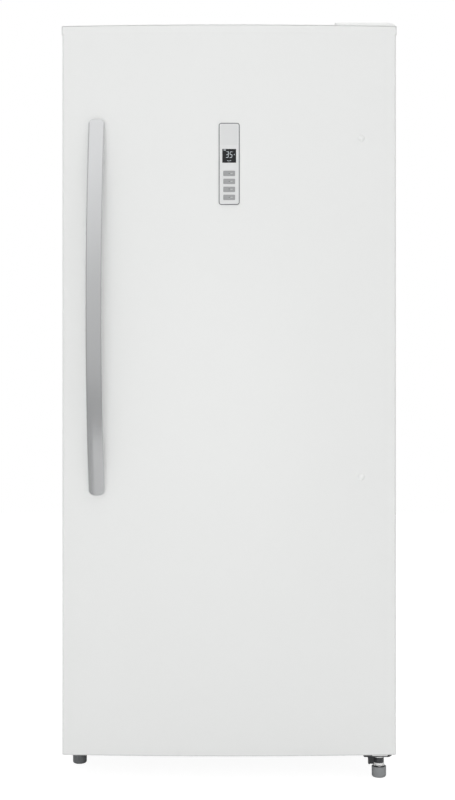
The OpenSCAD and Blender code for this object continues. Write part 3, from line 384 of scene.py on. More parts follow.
foam = celled("rigid_polyurethane_foam", "#ecdfb4", "#dfd09e", 1.2, 0.3, (0.75, 0.9))
spangled = celled("galvanised_steel_sheet", "#c9cccf", "#aeb2b6", 14.0, 0.002, (0.32, 0.46),
                  Metallic=1.0)
zinc = grained("zinc_plated_steel", "#c8cacb", "#b4b7b9", 1.5, 0.004, (0.26, 0.36), Metallic=1.0)
fin_aluminium = grained("rolled_aluminium_fin", "#cfd1d3", "#c2c4c6", 2.0, 0.002, (0.25, 0.35),
                        Metallic=1.0)
satin_silver = grained("satin_anodised_aluminium", "#dddedf", "#d8d9da", 0.7, 0.0008,
                       (0.16, 0.20), stretch=(1, 1, 0.02), Metallic=1.0)

# %% [markdown]
# Glass and clear plastic let light through. Glass has a green cast, and polystyrene hardly any.
# No sheet is perfectly flat, so a slow wave with a very low relief bends what shows through it.
# The display's figures give off a little light.

# %% Clear pieces and lit figures
WAVES_PER_METRE = 12.0
WAVE_RELIEF = 0.05


def clear(name, tint, ior, roughness, passed):
    """A clear solid that lets a share of the light pass. Its colour lies between tint and white."""
    material, tree, shader, coords = new_material(name, IOR=ior, Roughness=roughness,
                                                  **{"Transmission Weight": passed})
    noise = add(tree, "TexNoise", {"Vector": coords, "Scale": WAVES_PER_METRE,
                "Detail": 1.0}).outputs["Fac"]
    colour = add(tree, "Mix", {"Factor": noise, MIX_A: linear(tint), MIX_B: linear("#ffffff")},
                 data_type="RGBA")
    bump = add(tree, "Bump", {"Height": noise, "Distance": WAVE_RELIEF * MM})
    tree.links.new(colour.outputs[MIX_OUT], shader.inputs["Base Color"])
    tree.links.new(bump.outputs["Normal"], shader.inputs["Normal"])
    return material


shelf_glass = clear("tempered_soda_lime_glass", "#d4ebe2", 1.52, 0.02, 0.92)
clear_ps = clear("moulded_clear_polystyrene", "#f0f6f8", 1.49, 0.06, 0.90)
smoked = grained("smoked_acrylic", "#101216", "#0c0d10", 30.0, 0.0, (0.05, 0.08))
lit_segments = new_material("lit_segments", Roughness=0.3, **{
    "Base Color": linear("#ccd2d6"), "Emission Color": linear("#b9c2c6"),
    "Emission Strength": 0.38})[0]
print(len(bpy.data.materials), "materials, with those that the frame brings")

# %% [markdown]
# The door's skin is one sheet, 1 mm thick, folded round the foam: a bowed front, round front
# edges, straight sides, a bevel and a narrow return at the back. It is drawn as a path with a
# straight front, with extra points on its long runs, because only a run with points on it can
# bend. The bow then moves each front point out by the height of a large arc over the door's
# width, which keeps the round edges smooth.

# %% Door sizes
DOOR_T, DOOR_R, DOOR_BEVEL = 68.0, 6.0, 15.0
FOLD_R, RETURN_W, SHEET_T = 2.0, 16.0, 1.0
DOOR_CURVE = (DOOR_HALF ** 2 + DOOR_BULGE ** 2) / (2 * DOOR_BULGE)
left_side = [(-DOOR_HALF + DOOR_BEVEL, DOOR_T), (-DOOR_HALF, DOOR_T - DOOR_BEVEL), (-DOOR_HALF, 0)]
DOOR_PLAN = left_side + [(-x, depth) for x, depth in left_side[::-1]]
PLAN_RADII = [FOLD_R, FOLD_R, DOOR_R, DOOR_R, FOLD_R, FOLD_R]
print("the door's bow has a radius of", round(DOOR_CURVE), "mm")


def bowed(path):
    """Moves the front points of a plan out by sqrt(R^2 - x^2) - (R - bulge), R the bow's radius."""
    x, depth = path.T
    rise = np.sqrt(DOOR_CURVE ** 2 - x ** 2) - (DOOR_CURVE - DOOR_BULGE)
    return np.column_stack([x, np.where(depth < DOOR_T / 2, depth - rise, depth)])

# %% Points along a path
def refined(path, longest):
    """The same open path with points added so that no run is longer than the limit."""
    run = np.diff(path, axis=0)
    count = np.maximum(1, np.ceil(np.linalg.norm(run, axis=1) / longest)).astype(int)
    index = np.repeat(np.arange(len(count)), count)
    share = (np.arange(count.sum()) - np.repeat(np.cumsum(count) - count, count)) / count[index]
    return np.vstack([path[index] + run[index] * share[:, None], path[-1:]])


def offset(path, distance, closed=False):
    """The path moved to its left: each point goes along the mean normal of its two runs, by the
    distance over the cosine of half their turn, but at most twice the distance."""
    run = unit(np.roll(path, -1, axis=0) - path) if closed else unit(np.diff(path, axis=0))
    normal = np.column_stack([-run[:, 1], run[:, 0]])
    after = normal if closed else np.vstack([normal, normal[-1:]])
    before = np.roll(normal, 1, axis=0) if closed else np.vstack([normal[:1], normal])
    mean = unit(before + after)
    stretch = 1 / np.maximum(np.sum(mean * after, axis=1), 0.5)
    return path + mean * (distance * stretch)[:, None]

# %% Door skin
SKIN_RUN = 9.0


def door_skin():
    """The folded sheet: its path in plan, the same path one thickness in, and both heights."""
    inner = DOOR_HALF - DOOR_BEVEL - RETURN_W
    corners = [(-inner, DOOR_T)] + DOOR_PLAN + [(inner, DOOR_T)]
    path = refined(rounded(corners, PLAN_RADII, 10, ends=True), SKIN_RUN)
    outside, inside = bowed(path), bowed(offset(path, SHEET_T))
    low, high = skin_low[2], skin_high[2]
    section = [(outside, low), (outside, high), (inside, high), (inside, low)]
    return loft(np.stack([np.insert(p, 2, z, axis=1) for p, z in section], axis=1))


make_piece("door_skin_sheet", [door_skin()], door_paint, "door", ["door_skin"])

# %% [markdown]
# A moulded cap closes each end of the door. The top one stands 2 mm out past the sheet's sides
# but only 0.3 mm past its front. It is a stack of the same outline at rising heights, drawn in a
# little at its rounded edge and in the fine groove under its lid, which shows as a thin line.

# %% Door caps
TOP_Z = corners_of("door_top_cap")[1][2]
CAP_H, CAP_RIM, CAP_PROUD, CAP_EDGE = 20.0, 2.0, 0.3, 1.2
CAP_LIP, CAP_UNDER, CAP_RUN = 0.4, 0.6, 12.0


def cap_rings(levels):
    """The door's plan at each height, made larger by the growth and then bowed. The front grows
    by CAP_PROUD at most, and the back doesn't."""
    path = rounded(DOOR_PLAN, PLAN_RADII, 8)
    path = refined(np.vstack([path, path[:1]]), CAP_RUN)[:-1]
    rings = []
    for z, grow in levels:
        plan = offset(path, -grow, closed=True)
        plan[:, 1] = np.clip(plan[:, 1], -min(grow, CAP_PROUD), DOOR_T)
        rings.append(np.insert(bowed(plan), 2, z, axis=1))
    return np.stack(rings)


LID_T, GROOVE_H, GROOVE_D = 1.2, 1.0, 4.4
cap_z, lid_z, groove = TOP_Z - CAP_H, TOP_Z - LID_T, CAP_RIM - GROOVE_D
top_levels = [(cap_z, -CAP_UNDER), (cap_z, CAP_RIM - CAP_LIP), (cap_z + CAP_LIP, CAP_RIM),
              (lid_z - GROOVE_H, CAP_RIM), (lid_z - GROOVE_H, groove), (lid_z, groove),
              (lid_z, CAP_RIM)]
# The rounded edge is a quarter circle, from the side up to the flat top.
top_levels += [(TOP_Z - CAP_EDGE * (1 - math.sin(t)), CAP_RIM - CAP_EDGE * (1 - math.cos(t)))
               for t in np.linspace(0, np.pi / 2, 6)]
make_piece("door_top_cap_moulding", [loft(cap_rings(top_levels))], cap_abs, "door",
           ["door_top_cap"], crease=50)

# %% [markdown]
# The handle is a bar bent to a large arc, so it stands away from the door in the middle and
# comes down to it at the ends. Its section is a flat bar with round edges and a slight crown.
# Seen from the front the ends are half ellipses, 12 mm long. A foot under each end carries it.

# %% Handle sizes
handle_low, handle_high = corners_of("handle")
HANDLE_X = -330.0
HANDLE_W, HANDLE_T, HANDLE_CROWN, BAR_R = 40.0, 15.0, 1.6, 4.0
HANDLE_REACH, HANDLE_END_REACH = 62.0, 11.0
HANDLE_MID = (handle_low[2] + handle_high[2]) / 2
HANDLE_HALF = (handle_high[2] - handle_low[2]) / 2
BOW_RISE = HANDLE_REACH - HANDLE_END_REACH
BOW_CURVE = (HANDLE_HALF ** 2 + BOW_RISE ** 2) / (2 * BOW_RISE)
END_R, TIP_R, BACK_GAP = 12.0, 4.0, 0.4
SCREW_INSET = 47.5
SCREW_DZ = HANDLE_HALF - SCREW_INSET
print("handle", round(2 * HANDLE_HALF, 1), "mm long, on a bow of radius", round(BOW_CURVE), "mm")


def bow_reach(z):
    """Height of the bow's outer face over the door: sqrt(R^2 - z^2) - R + reach."""
    return np.sqrt(BOW_CURVE ** 2 - z ** 2) - BOW_CURVE + HANDLE_REACH


def on_door(x, across, out, z):
    """Points on the bowed front round x: across it, out from it along its normal, at height z."""
    turn = math.asin(x / DOOR_CURVE)
    px = across * math.cos(turn) + (DOOR_CURVE + out) * math.sin(turn)
    depth = across * math.sin(turn) - (DOOR_CURVE + out) * math.cos(turn)
    return np.stack(np.broadcast_arrays(px, depth + DOOR_CURVE - DOOR_BULGE, z), axis=-1)

# %% Handle
PAD_HALF_W, PAD_HALF_H, PAD_R = 16.0, 38.0, 12.0


def handle_bar():
    """A section at angle t on the bow has radius R - (T - v), v the height over the bar's back.
    Where the bow comes close to the door, its heights shrink so that its back stays on it, and
    over the last few millimetres the outer face dips in a quarter circle."""
    near_end = END_R * (1 - np.cos(np.linspace(0.02, np.pi / 2, 14)))
    middle = np.linspace(END_R, 2 * HANDLE_HALF - END_R, 90)[1:-1]
    along = np.concatenate([near_end, middle, 2 * HANDLE_HALF - near_end[::-1]])
    from_end = np.minimum(along, 2 * HANDLE_HALF - along)
    lack = END_R - np.minimum(from_end, END_R)
    half_w = HANDLE_W / 2 * np.sqrt(1 - (lack / END_R) ** 2)
    short = TIP_R - np.minimum(from_end, TIP_R)
    dip = TIP_R - np.sqrt(TIP_R ** 2 - short ** 2)
    section = box_path((-HANDLE_W / 2, 0), (HANDLE_W / 2, HANDLE_T), BAR_R, 8)
    section = refined(np.vstack([section, section[:1]]), 3.0)[:-1]
    u, v = section[:, 0] / (HANDLE_W / 2), section[:, 1]
    v = v - HANDLE_CROWN * u ** 2 * (v / HANDLE_T) ** 2
    angle = np.arcsin((along - HANDLE_HALF) / BOW_CURVE)[:, None]
    room = np.minimum(HANDLE_T, bow_reach(along - HANDLE_HALF) - BACK_GAP)[:, None]
    fall = dip[:, None] * v / HANDLE_T + room * (1 - v / HANDLE_T)
    radius = BOW_CURVE - fall
    out = radius * np.cos(angle) - (BOW_CURVE - HANDLE_REACH)
    z = HANDLE_MID + radius * np.sin(angle)
    return loft(on_door(HANDLE_X, u[None, :] * half_w[:, None], out, z))


def handle_foot(side):
    """A block with round corners whose top follows the bar's back. Its rings are drawn in a
    little below and above, which softens its edges."""
    path = box_path((-PAD_HALF_W, -PAD_HALF_H), (PAD_HALF_W, PAD_HALF_H), PAD_R, 8)
    top = bow_reach(side * SCREW_DZ + path[:, 1]) - HANDLE_T / 2
    middle = HANDLE_MID + side * SCREW_DZ
    return loft([on_door(HANDLE_X, path[:, 0] * grow, out, middle + path[:, 1] * grow)
                 for out, grow in ((0.3, 0.985), (0.9, 1.0), (np.maximum(top, 2), 0.97))])


make_piece("handle_bar", [handle_bar(), handle_foot(-1), handle_foot(1)], satin_silver, "door",
           ["handle"], crease=50)

# %% [markdown]
# Two snap-in plugs close the holes that would take the handle if the door were hung on the
# other side. They are small domes, turned about an axis that points out of the door.

# %% Hole plugs
PLUG_R, PLUG_H, PLUG_RIM = 8.5, 2.8, 0.5
# A pole is a very small ring, and surfaces that would meet stay this far apart.
NEAR_0 = 0.05


def plug(z):
    """A dome over a rim, of height h(r) = rim + (H - rim) (1 - (r / R)^2)^0.6."""
    r = PLUG_R * np.sin(np.linspace(0, np.pi / 2, 12))[1:]
    h = PLUG_RIM + (PLUG_H - PLUG_RIM) * (1 - (r / PLUG_R) ** 2) ** 0.6
    r, h = np.concatenate([[NEAR_0], r, [PLUG_R]]), np.concatenate([[PLUG_H], h, [NEAR_0]])
    a = round_angles(48)
    return loft([on_door(-HANDLE_X, radius * np.cos(a), height, z + radius * np.sin(a))
                 for radius, height in zip(r, h)])


make_piece("hole_plug_domes", [plug(HANDLE_MID - SCREW_DZ), plug(HANDLE_MID + SCREW_DZ)],
           cap_abs, "door", ["plug_buttons"], crease=60)

# %% [markdown]
# The control panel is a moulding with a printed film on it. A thin grey line runs round its
# edge. The keys carry small plain marks. All of it is thin flat shapes that lie on a face.

# %% Control panel sizes
bezel_low, bezel_high = corners_of("control_bezel")
window_low, window_high = corners_of("display_window")
PANEL_FRONT, PANEL_HALF, PANEL_R = bezel_low[1], bezel_high[0], 6.5
PANEL_Z = (bezel_low[2], bezel_high[2])
PRINT_T, PRINT_SINK = 0.06, 0.02
print("panel face", np.round(2 * PANEL_HALF, 1), "by", np.round(PANEL_Z[1] - PANEL_Z[0], 1), "mm")


def flat_shape(path, front):
    """A path drawn in x and z, made a thin plate that stands out from a depth towards the eye."""
    return loft([np.insert(path, 1, depth, axis=1) for depth in (front, front - PRINT_T)])

# %% Panel outline
RIM_W, RIM_BACK, RIM_FRONT = 1.9, 0.5, -0.15


def panel_rim():
    """A closed band: four rings round the panel, outside and inside, back and front."""
    rings = []
    for inset, depth in ((0, RIM_BACK), (0, RIM_FRONT), (RIM_W, RIM_FRONT), (RIM_W, RIM_BACK)):
        path = box_path((-PANEL_HALF + inset, PANEL_Z[0] + inset),
                        (PANEL_HALF - inset, PANEL_Z[1] - inset), PANEL_R - inset, 8)
        rings.append(np.insert(path, 1, PANEL_FRONT + depth, axis=1))
    return loft(rings, wrap=True)


make_piece("panel_outline", [panel_rim()], panel_edge_grey, "door")

# %% Printed zone and key marks
ZONE_SIDE, ZONE_OVER_WINDOW, ZONE_UNDER_TOP, ZONE_R = 5.5, 8.0, 6.0, 2.0
# Marks are (left, right, bottom, top) from the middle of a key, in mm.
ONE_MARK = [(-1.3, 1.3, -0.8, 0.6)]
TWO_MARKS = [(-1.6, 1.6, -2.2, -1.3), (-1.6, 1.6, 1.2, 2.1)]
DASH = [(3.4, 8.6, -0.5, 0.4)]
KEYS = ["key_1", "key_2", "key_3", "key_4"]


def plate(x0, x1, z0, z1, front, radius=0.3):
    """A thin plate with round corners, sunk a little into the face at the depth front."""
    return flat_shape(box_path((x0, z0), (x1, z1), radius, 3), front - PRINT_SINK + PRINT_T / 2)


zone = plate(-PANEL_HALF + ZONE_SIDE, PANEL_HALF - ZONE_SIDE, window_high[2] + ZONE_OVER_WINDOW,
             PANEL_Z[1] - ZONE_UNDER_TOP, PANEL_FRONT, ZONE_R)
make_piece("bare_zone", [zone], zone_film, "door")
for key in KEYS:
    low, high = corners_of(key)
    z = (low[2] + high[2]) / 2
    for name, marks, film in (("_symbol", TWO_MARKS if key == "key_3" else ONE_MARK, dark_print),
                              ("_dash", DASH, panel_film)):
        make_piece(key + name, [plate(x0, x1, z + z0, z + z1, low[1]) for x0, x1, z0, z1 in marks],
                   film, key)

# %% [markdown]
# The display shows two plain figures and a few small marks. A figure is made of lit bars with
# six corners each, and it leans a little to the right, as on most such displays.

# %% Display figures
WINDOW_FRONT = window_low[1]
mid_x, _, mid_z = (window_low + window_high) / 2
SEGMENTS = {"3": "abgcd", "5": "afgcd"}
DIGIT_W, DIGIT_H, BAR, LEAN = 5.2, 14.2, 0.95, 0.1
DIGIT_ASIDE, DIGIT_UP = 4.6, 3.0


def segment(start, end):
    """A six-sided bar between two points, pointed at both ends."""
    start, end = np.array(start, float), np.array(end, float)
    along = unit(end - start)
    side = np.array([-along[1], along[0]]) * BAR / 2
    tip = along * BAR / 2
    return np.array([start + tip * 0.25, start + tip + side, end - tip + side,
                     end - tip * 0.25, end - tip - side, start + tip - side])


def digit(figure, x, z):
    """The bars of one figure: x is moved by LEAN times z, so that it leans to the right."""
    w, h = DIGIT_W / 2, DIGIT_H / 2
    ends = {"a": ((-w, h), (w, h)), "b": ((w, h), (w, 0)), "c": ((w, 0), (w, -h)),
            "d": ((-w, -h), (w, -h)), "f": ((-w, h), (-w, 0)), "g": ((-w, 0), (w, 0))}
    bars = [segment(*ends[name]) for name in SEGMENTS[figure]]
    lean = np.array([[1, 0], [LEAN, 1]])
    return [flat_shape(bar @ lean + [x, z], WINDOW_FRONT - PRINT_SINK) for bar in bars]


figures = (digit("3", mid_x - DIGIT_ASIDE, mid_z + DIGIT_UP)
           + digit("5", mid_x + DIGIT_ASIDE, mid_z + DIGIT_UP))
# Small marks are (x, z) from the window's middle and (width, height).
small_marks = [((-11.0, 14.6), (5.0, 1.6)), ((12.6, 3.4), (1.0, 2.4)), ((-4.0, -12.0), (2.6, 1.0)),
               ((-0.4, -12.6), (2.6, 1.0)), ((3.2, -12.0), (2.6, 1.0))]
marks = [flat_shape(box_path((mid_x + x - w / 2, mid_z + z - h / 2),
                             (mid_x + x + w / 2, mid_z + z + h / 2), 0.3, 2),
                    WINDOW_FRONT - PRINT_SINK) for (x, z), (w, h) in small_marks]
make_piece("display_figures", figures + marks, lit_segments, "door")

# %% [markdown]
# A levelling foot is a nylon disc on a threaded rod, with a lock nut and a bright wavy ring on
# it. The disc's lower edge is round. The rod's thread is a surface whose radius rises and falls
# with height and turns once round the rod for each pitch.

# %% Levelling feet
FOOT_R, FOOT_H, SOLE_R = 18.25, 27.0, 5.0
DISH_R, DISH_DEPTH, HUB_R, HUB_SINK = 14.85, 4.5, 10.0, 1.0
STEM_R, THREAD_PITCH, THREAD_DEPTH = 6.0, 1.75, 0.9
BORE_R = STEM_R + 0.3


def revolve(profile, x, depth, steps, wrap=False):
    """A profile of (radius, height) turned about an upright axis: to x comes r cos a, and to the
    depth r sin a."""
    r, h = np.asarray(profile, float).T
    a = round_angles(steps)
    ring = np.stack([np.outer(r, np.cos(a)), np.outer(r, np.sin(a)),
                     np.outer(h, np.ones(steps))], axis=-1)
    return loft(ring + [x, depth, 0], wrap)


def foot_disc(x, depth):
    """The disc: flat sole, round lower edge, steep side, rounded rim and a dished top."""
    dish, hub = FOOT_H - DISH_DEPTH, FOOT_H - HUB_SINK
    corner = [(NEAR_0, 0), (FOOT_R - 0.3, 0), (FOOT_R, FOOT_H), (DISH_R, FOOT_H),
              (DISH_R - 0.8, dish), (HUB_R, dish), (HUB_R, hub), (NEAR_0, hub)]
    path = rounded(corner, [SOLE_R, 1.2, 1.0, 0.8, 0.6, 0.8], 6, ends=True)
    return revolve(path, x, depth, 72)

# %% Rods, nuts and rings
NUT_R, NUT_LOW, NUT_HIGH = 11.0, FOOT_H - 0.9, FOOT_H + 2.1
WAVE_R, WAVES, WAVE_RISE, WAVE_HALF_T, WAVE_Z = 14.2, 6, 0.5, 0.35, FOOT_H + 3.0


def threaded_rod(x, depth, low, high):
    """Radius r - d * w, where w is a triangle wave of height / pitch - angle / full turn."""
    z = np.arange(low, high, THREAD_PITCH / 8)
    a = round_angles(32)
    phase = (z[:, None] / THREAD_PITCH - a[None, :] / (2 * np.pi)) % 1
    r = STEM_R - THREAD_DEPTH * np.abs(2 * phase - 1)
    return loft(np.stack([x + r * np.cos(a), depth + r * np.sin(a),
                          np.broadcast_to(z[:, None], r.shape)], axis=-1))


def wave_ring(x, depth):
    """Four rings, inside and outside, under and over, at the height z + rise cos(waves a) + t."""
    a = round_angles(96)
    wave = WAVE_Z + WAVE_RISE * np.cos(WAVES * a)
    return loft([np.column_stack([x + r * np.cos(a), depth + r * np.sin(a), wave + t])
                 for r, t in rectangle((BORE_R, -WAVE_HALF_T), (WAVE_R, WAVE_HALF_T))], wrap=True)


def middle_of(node):
    """Middle of a CAD node in x and depth, and its top, in mm."""
    low, high = corners_of(node)
    return (*((low[:2] + high[:2]) / 2), high[2])


nut = rectangle((BORE_R, NUT_LOW), (NUT_R, NUT_HIGH))
# The left foot's darker nylon is painted shade, not a different nylon.
for foot, nylon in (("right_foot", foot_nylon), ("left_foot", foot_nylon_painted_shade)):
    x, depth, top = middle_of(foot)
    make_piece(foot + "_disc", [foot_disc(x, depth)], nylon, foot, [foot])
    make_piece(foot + "_rod", [threaded_rod(x, depth, FOOT_H - 2, top)], zinc, foot)
    make_piece(foot + "_lock_nut", [revolve(nut, x, depth, 6, wrap=True)], black_paint, foot)
    make_piece(foot + "_lock_ring", [wave_ring(x, depth)], washer_nylon, foot)

# %% [markdown]
# The right foot turns in a long nut under the bottom hinge. Pale nylon shows as a bright line
# on both sides of the nut: a washer under the bracket, and a collar at the nut's lower end.

# %% Hinge washer and nut collar
COLLAR_R, COLLAR_EDGE, COLLAR_BORE = 13.4, 12.4, STEM_R + 0.4
WASHER_T, HINGE_NUT_H = 4.1, 18.0
x, depth, top = middle_of("right_foot")
nut_z, collar_z = top - HINGE_NUT_H, FOOT_H + 4.4
collar = [(COLLAR_BORE, collar_z), (COLLAR_EDGE, collar_z), (COLLAR_R, collar_z + 1.0),
          (COLLAR_R, collar_z + 3.6), (COLLAR_EDGE, nut_z), (COLLAR_BORE, nut_z)]
make_piece("hinge_nut_collar", [revolve(collar, x, depth, 48, wrap=True)], washer_nylon, "cabinet")
washer = box_path((BORE_R, top - WASHER_T), (COLLAR_R, top - NEAR_0), 0.4, 3)
make_piece("hinge_washer", [revolve(washer, x, depth, 48, wrap=True)], washer_nylon, "cabinet")

# %% [markdown]
# The gasket is an extruded tube of soft PVC: a foot that snaps into the door, a bellows that
# gives way, and a bar with a magnet in it that lies on the case. Its section is carried round
# the door, so each point of the section is one closed ring.

# %% Door gasket
GASKET_W, GASKET_R, LIP_R, BAR_T = 14.0, 8.0, 0.7, 4.4


def gasket():
    """Rings round the door: the section's first value draws the ring in, its second is depth."""
    low, high = corners_of("door_gasket")
    foot, bar = low[1], high[1]
    half = [(0, foot), (0, foot + 3), (3.5, foot + 3.6), (5, foot + 6), (3, foot + 8.2),
            (0, bar - BAR_T), (0, bar)]
    corners = half[:1] + [(GASKET_W - a, d) for a, d in half] + half[:0:-1]
    rings = []
    for inset, depth in rounded(corners, LIP_R, 3):
        path = box_path((-high[0] + inset, low[2] + inset), (high[0] - inset, high[2] - inset),
                        max(GASKET_R - inset, 1.0), 5)
        rings.append(np.insert(path, 1, depth, axis=1))
    return loft(rings, wrap=True)


make_piece("gasket_profile", [gasket()], gasket_pvc, "door", ["door_gasket"],
           crease=50)

# %% [markdown]
# Pan-head screws hold the back and the machine cover. A head is a low dome with a cross cut
# into it. The dome's height is lowered wherever a point lies within one of the two slots.

# %% Screws
SCREW_R, PAN_H, SLOT_DEPTH, SLOT_HALF, SLOT_END = 4.0, 0.55, 0.35, 0.17, 0.62


def screw_head(x, depth, z):
    """A dome over a disc: h = H sqrt(1 - (r / R)^2), less a slot where |u| or |v| is small. The
    sizes of the dome and the slot are shares of the radius R."""
    r = SCREW_R * np.sqrt(np.linspace(0.0005, 1, 14))
    a = round_angles(40)
    u, v = np.outer(r, np.cos(a)), np.outer(r, np.sin(a))
    height = PAN_H * SCREW_R * np.sqrt(1.001 - (r[:, None] / SCREW_R) ** 2)
    in_slot = ((np.minimum(np.abs(u), np.abs(v)) < SLOT_HALF * SCREW_R)
               & (np.hypot(u, v) < SLOT_END * SCREW_R))
    height = np.where(in_slot, height - SLOT_DEPTH * SCREW_R, height)
    base = np.stack([u[-1:], v[-1:], np.full((1, len(a)), -0.3)], axis=-1)
    across, up, out = np.moveaxis(np.concatenate([np.stack([u, v, height], axis=-1), base]), -1, 0)
    return loft(np.stack([x + across, depth + out, z + up], axis=-1))


panel_low, panel_high = corners_of("rear_panel")
cover_low, cover_high = corners_of("machine_cover")
PANEL_SINK, PANEL_EDGE, COVER_SINK, COVER_EDGE = 4.0, 12.0, 0.01, 16.0
TOP_ROW, COVER_ROW = (-250, 0, 250), (-398, -130, 140, 398)
SIDE_START, SIDE_END, SIDE_COUNT = panel_low[2] + 30, 1870, 6
BACK = cover_high[1]
SHEET_BACK = BACK - PANEL_SINK
SIDE_X = panel_high[0] - PANEL_EDGE
rear_screws = [screw_head(x, SHEET_BACK, z) for x in (-SIDE_X, SIDE_X)
               for z in np.linspace(SIDE_START, SIDE_END, SIDE_COUNT)]
rear_screws += [screw_head(x, SHEET_BACK, panel_high[2] - PANEL_EDGE) for x in TOP_ROW]
make_piece("rear_screws", rear_screws, zinc, "cabinet", crease=45)
cover_screws = [screw_head(x, BACK - COVER_SINK, z) for x in COVER_ROW
                for z in (cover_low[2] + COVER_EDGE, cover_high[2] - COVER_EDGE)]
make_piece("cover_screws", cover_screws, zinc, "cabinet", crease=45)

# %% [markdown]
# The crispers and the door's bins are moulded tubs. A tub is a stack of rings with round
# corners: up the outside, over a thick rim and down the inside, so every edge is as soft as a
# mould leaves it. A crisper has a rolled grip on its front. A bin has a rim and an ear at each
# end, and the ear's notch drops over a lug of the door's liner.

# %% Moulded tubs
TUB_WALL, RIM_OUT, RIM_TALL, RIM_R = 2.6, 1.6, 8.0, 1.2


def tub(low, high, corner_radii, edge_radius, lean=0.0):
    """Rings of a rectangle. Round the lower edge, at angle t, a ring's inset is R (1 - sin t) and
    its height R (1 - cos t). The far side leans out by a share of the height."""
    t = np.linspace(0, np.pi / 2, 7)
    turn = np.column_stack([1 - np.sin(t), 1 - np.cos(t)])
    top = high[2]
    outside = [RIM_OUT, low[2]] + edge_radius * turn
    inner = RIM_OUT + TUB_WALL
    rim = [(RIM_OUT, top - RIM_TALL), (0.2, top - RIM_TALL + RIM_R), (0, top - RIM_R),
           (0.35, top - 0.35), (RIM_R, top), (inner - 1, top), (inner - 0.2, top - 0.3),
           (inner, top - RIM_R)]
    inside = [inner, low[2] + TUB_WALL] + (edge_radius - TUB_WALL) * turn[::-1]
    rings = []
    for inset, z in np.vstack([outside, rim, inside]):
        path = box_path((low[0] + inset, low[1] + inset),
                        (high[0] - inset, high[1] - lean * (top - z) - inset),
                        np.maximum(np.array(corner_radii) - inset, 1.0), steps=8)
        rings.append(np.insert(path, 2, z, axis=1))
    return loft(rings)


def along_x(path, start, end):
    """A closed path of (depth, z) swept from one x to another."""
    return loft([np.insert(path, 0, x, axis=1) for x in (start, end)])

# %% Crispers
TUB_CORNER, TUB_FOOT = 16.0, 10.0
GRIP_OUT, GRIP_DOWN, GRIP_H, GRIP_R, GRIP_T, GRIP_SIDE = 16.0, 18.0, 15.0, 6.0, 2.4, 22.0
SEAT_GAP = 0.2
for node in ("crisper_left", "crisper_right"):
    low, high = corners_of(node)
    top, front = high[2] - GRIP_DOWN, low[1] + SEAT_GAP
    hook = rounded([(low[1] + GRIP_OUT + 2, top), (front, top), (front, top - GRIP_H)], GRIP_R,
                   ends=True)
    grip = np.vstack([hook, offset(hook, GRIP_T)[::-1]])
    low[1] += GRIP_OUT
    make_piece(node + "_tub", [tub(low, high, TUB_CORNER, TUB_FOOT),
                               along_x(grip, low[0] + GRIP_SIDE, high[0] - GRIP_SIDE)],
               clear_ps, node, [node])

# %% Door bins
BIN_SIDE, BIN_CORNERS, BIN_FOOT, BIN_LEAN = 8.0, [5, 5, 26, 26], 13.0, 4.0 / 86.0
EAR_W, EAR_SKIN, FLANGE_T, FLANGE_BACK = 9.5, 4.4, 5.0, 10.0
# An ear in (depth, z) from the bin's lowest corner: its outline, and the same with the notch.
EAR = box_path((SEAT_GAP, 10), (30, 46), [1, 1, 4, 1])
NOTCHED = rounded([(SEAT_GAP, 10), (5.7, 10), (5.7, 32.3), (22.3, 32.3), (22.3, 10), (30, 10),
                   (30, 46), (SEAT_GAP, 46)], [0.8, 0.8, 2, 2, 0.8, 0.8, 4, 1])
for number in range(1, 6):
    node = "door_bin_%d" % number
    low, high = corners_of(node)
    shells = [tub(low + [BIN_SIDE, SEAT_GAP, 0], high - [BIN_SIDE, 0, 0], BIN_CORNERS, BIN_FOOT,
                  BIN_LEAN)]
    flange = box_path((low[1] + SEAT_GAP, high[2] - FLANGE_T), (high[1] - FLANGE_BACK, high[2]),
                      [1, 2, 2, 1])
    for outer, side in ((low[0], 1), (high[0], -1)):
        shells += [along_x(low[1:] + EAR, outer + EAR_SKIN * side, outer + EAR_W * side),
                   along_x(low[1:] + NOTCHED, outer, outer + EAR_SKIN * side),
                   along_x(flange, outer, outer + (EAR_W - 1) * side)]
    make_piece(node + "_tub", shells, clear_ps, node, [node])

# %% [markdown]
# The other pieces keep their CAD shape. Pieces with visible moulded or pressed edges are shown
# as a merged copy of the CAD mesh whose edges are broken by a small bevel, because no real edge
# is perfectly sharp and the bevel is what catches the light. The rest only get their material.

# %% Nodes as they are
plain = [
    (case_paint, "outer_case"), (spangled, "rear_panel base_pan"),
    (foam, "cabinet_foam door_foam"), (fin_aluminium, "evaporator condenser"),
    (zinc, "top_hinge_bracket top_hinge_pin bottom_hinge_pin roller_brackets handle_studs"),
    (black_pp, "evaporator_fan_motor condenser_fan_motor condenser_fan roller_left roller_right"),
    (shelf_abs, "evaporator_fan"), (compressor_paint, "compressor"),
    (rubber, "compressor_grommets"), (board_mask, "control_board"), (smoked, "display_window"),
    (boss_abs, "door_bottom_cap"), (liner_hips, "inner_liner air_duct_cover door_liner"),
    (panel_film, "control_bezel"), (cover_pp, "machine_cover"), (lamp_opal, "lamp_lens"),
]
for material, nodes in plain:
    for node in nodes.split():
        slots = frame["nodes"][node].data.materials
        slots.clear()
        slots.append(material)
print("finished", sum(len(nodes.split()) for _, nodes in plain), "nodes as they are")

# %% Nodes with broken edges
MERGE_DIST = 0.01
FLAT_ANGLE = 0.5


